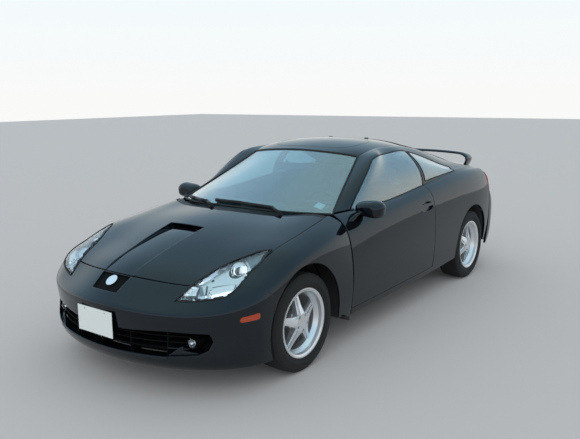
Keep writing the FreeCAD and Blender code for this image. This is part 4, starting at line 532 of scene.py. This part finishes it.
# The sliding roof's outline
HATCH_HALF, HATCH_Y, HATCH_ROUND, HATCH_STEPS = 0.38, (-0.075, 0.40), 3.2, 96
HATCH_GROOVE, HATCH_SUNK = 0.005, 0.0015
roof_tree = tree_of("roof", lambda f: f.normal.z > 0.8 and f.area > 0.3)
outline = []
for k in range(HATCH_STEPS):
    angle = 2 * math.pi * k / HATCH_STEPS
    c, s = math.cos(angle), math.sin(angle)
    reach = 1 / (abs(c) ** HATCH_ROUND + abs(s) ** HATCH_ROUND) ** (1 / HATCH_ROUND)
    x = HATCH_HALF * c * reach
    y = (HATCH_Y[0] + HATCH_Y[1]) / 2 + (HATCH_Y[1] - HATCH_Y[0]) / 2 * s * reach
    outline.append(roof_tree.ray_cast(Vector((x, y, 2)), Vector((0, 0, -1)))[0])
add_bead("roof_hatch_line", [point - Vector((0, 0, HATCH_SUNK)) for point in outline if point], HATCH_GROOVE,
         seal_rubber, "shell", closed=True)

# Fog lamps: a small bowl behind each lens
FOG_BOWL_SHARE, FOG_BOWL_BACK = 0.36, 0.022
for sign, side in ((1, "left"), (-1, "right")):
    low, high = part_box("fog_lamps")
    reach = high.z - low.z
    centre = Vector((sign * (high.x - reach / 2), low.y + FOG_BOWL_BACK, (low.z + high.z) / 2))
    spun("fog_lamp_bowl_" + side, bowl_profile(FOG_BOWL_SHARE * reach), centre, Vector((0, -1, 0)),
         [dull_chrome], "shell")

# Door mirrors' glass
MIRROR_GLASS_SHARE, MIRROR_GLASS_PROUD = 0.88, 0.0015
for sign, side in ((1, "left"), (-1, "right")):
    rear = max(faces_of("mirror_" + side), key=lambda f: f.normal.y * f.area)
    glass = patch_of("mirror_" + side, lambda f, rear=rear: f is rear)
    for vertex in glass.verts:
        vertex.co = (rear.centre + (vertex.co - rear.centre) * MIRROR_GLASS_SHARE
                     + Vector((0, MIRROR_GLASS_PROUD, 0)))
    add_piece("mirror_glass_" + side, glass, [mirror_silver], "door_" + side, smooth=False)

# A small blank sticker inside the windscreen's lower corner
STICKER_OFF_GLASS = 0.002
STICKER_AT, STICKER_SIZE = Vector((0.590, -0.730, 0.918)), (0.090, 0.064)


def make_sticker():
    inner = min(faces_of("windscreen"), key=lambda f: f.normal.z * f.area)
    nearest = min(inner.polygons, key=lambda p: (p.center - STICKER_AT).length)
    normal = nearest.normal.copy()
    across = (Vector((1, 0, 0)) - normal * normal.x).normalized()
    upward = normal.cross(across)
    place = nearest.center + normal * STICKER_OFF_GLASS
    mesh = bmesh.new()
    half_wide, half_high = STICKER_SIZE[0] / 2, STICKER_SIZE[1] / 2
    corners = ((-1, -1), (1, -1), (1, 1), (-1, 1))
    mesh.faces.new([mesh.verts.new(place + across * (x * half_wide) + upward * (y * half_high))
                    for x, y in corners])
    add_piece("sticker", mesh, [sticker_white], "shell", smooth=False)


make_sticker()


# A pale floor in a pale studio whose upper part is a soft blue-grey
FLOOR_GREY = (0.40, 0.41, 0.42)
# The studio's tones: how high the way looks, from level to straight up, and the tone there
STUDIO = [(0.0, (0.95, 0.95, 0.94)), (0.22, (0.86, 0.96, 1.0)), (0.42, (0.55, 0.80, 1.0)),
          (0.72, (0.50, 0.78, 1.0)),
          (0.9, (0.65, 0.92, 1.0))]
FILL_FROM, FILL_STRENGTH, FILL_SPREAD = (0.45, -0.75, 0.5), 1.2, 0.9
FLOOR_SIZE = 80


def make_stage():
    bpy.ops.mesh.primitive_plane_add(size=FLOOR_SIZE)
    floor = bpy.context.object
    floor.name = "stage_floor"
    floor.data.materials.append(plain("studio_floor", FLOOR_GREY, 0.9))


def make_lights():
    """Plain white light on the object; the camera, gloss and glass see the studio's tones instead."""
    world = bpy.data.worlds.new("studio")
    scene.world = world
    world.use_nodes = True
    tree = world.node_tree
    background = tree.nodes["Background"]
    where = tree.nodes.new("ShaderNodeTexCoord")
    split = tree.nodes.new("ShaderNodeSeparateXYZ")
    ramp = tree.nodes.new("ShaderNodeValToRGB")
    stops = ramp.color_ramp.elements
    while len(stops) < len(STUDIO):
        stops.new(1.0)
    for stop, (height, colour) in zip(stops, STUDIO):
        stop.position = height
        stop.color = (*colour, 1)
    tree.links.new(where.outputs["Generated"], split.inputs["Vector"])
    tree.links.new(split.outputs["Z"], ramp.inputs["Fac"])
    rays = tree.nodes.new("ShaderNodeLightPath")
    pick = tree.nodes.new("ShaderNodeMix")
    pick.data_type = "RGBA"
    pick.inputs[7].default_value = (1, 1, 1, 1)
    tree.links.new(rays.outputs["Is Diffuse Ray"], pick.inputs["Factor"])
    tree.links.new(ramp.outputs["Color"], pick.inputs[6])
    tree.links.new(pick.outputs[2], background.inputs["Color"])
    background.inputs["Strength"].default_value = 1.0
    data = bpy.data.lights.new("fill", "SUN")
    data.energy = FILL_STRENGTH
    data.angle = FILL_SPREAD
    fill = bpy.data.objects.new("fill", data)
    fill.rotation_mode = "QUATERNION"
    fill.rotation_quaternion = Vector(FILL_FROM).to_track_quat("Z", "Y")
    fill.visible_glossy = False
    scene.collection.objects.link(fill)


make_camera()
make_stage()
make_lights()
scene.view_settings.view_transform = "Standard"
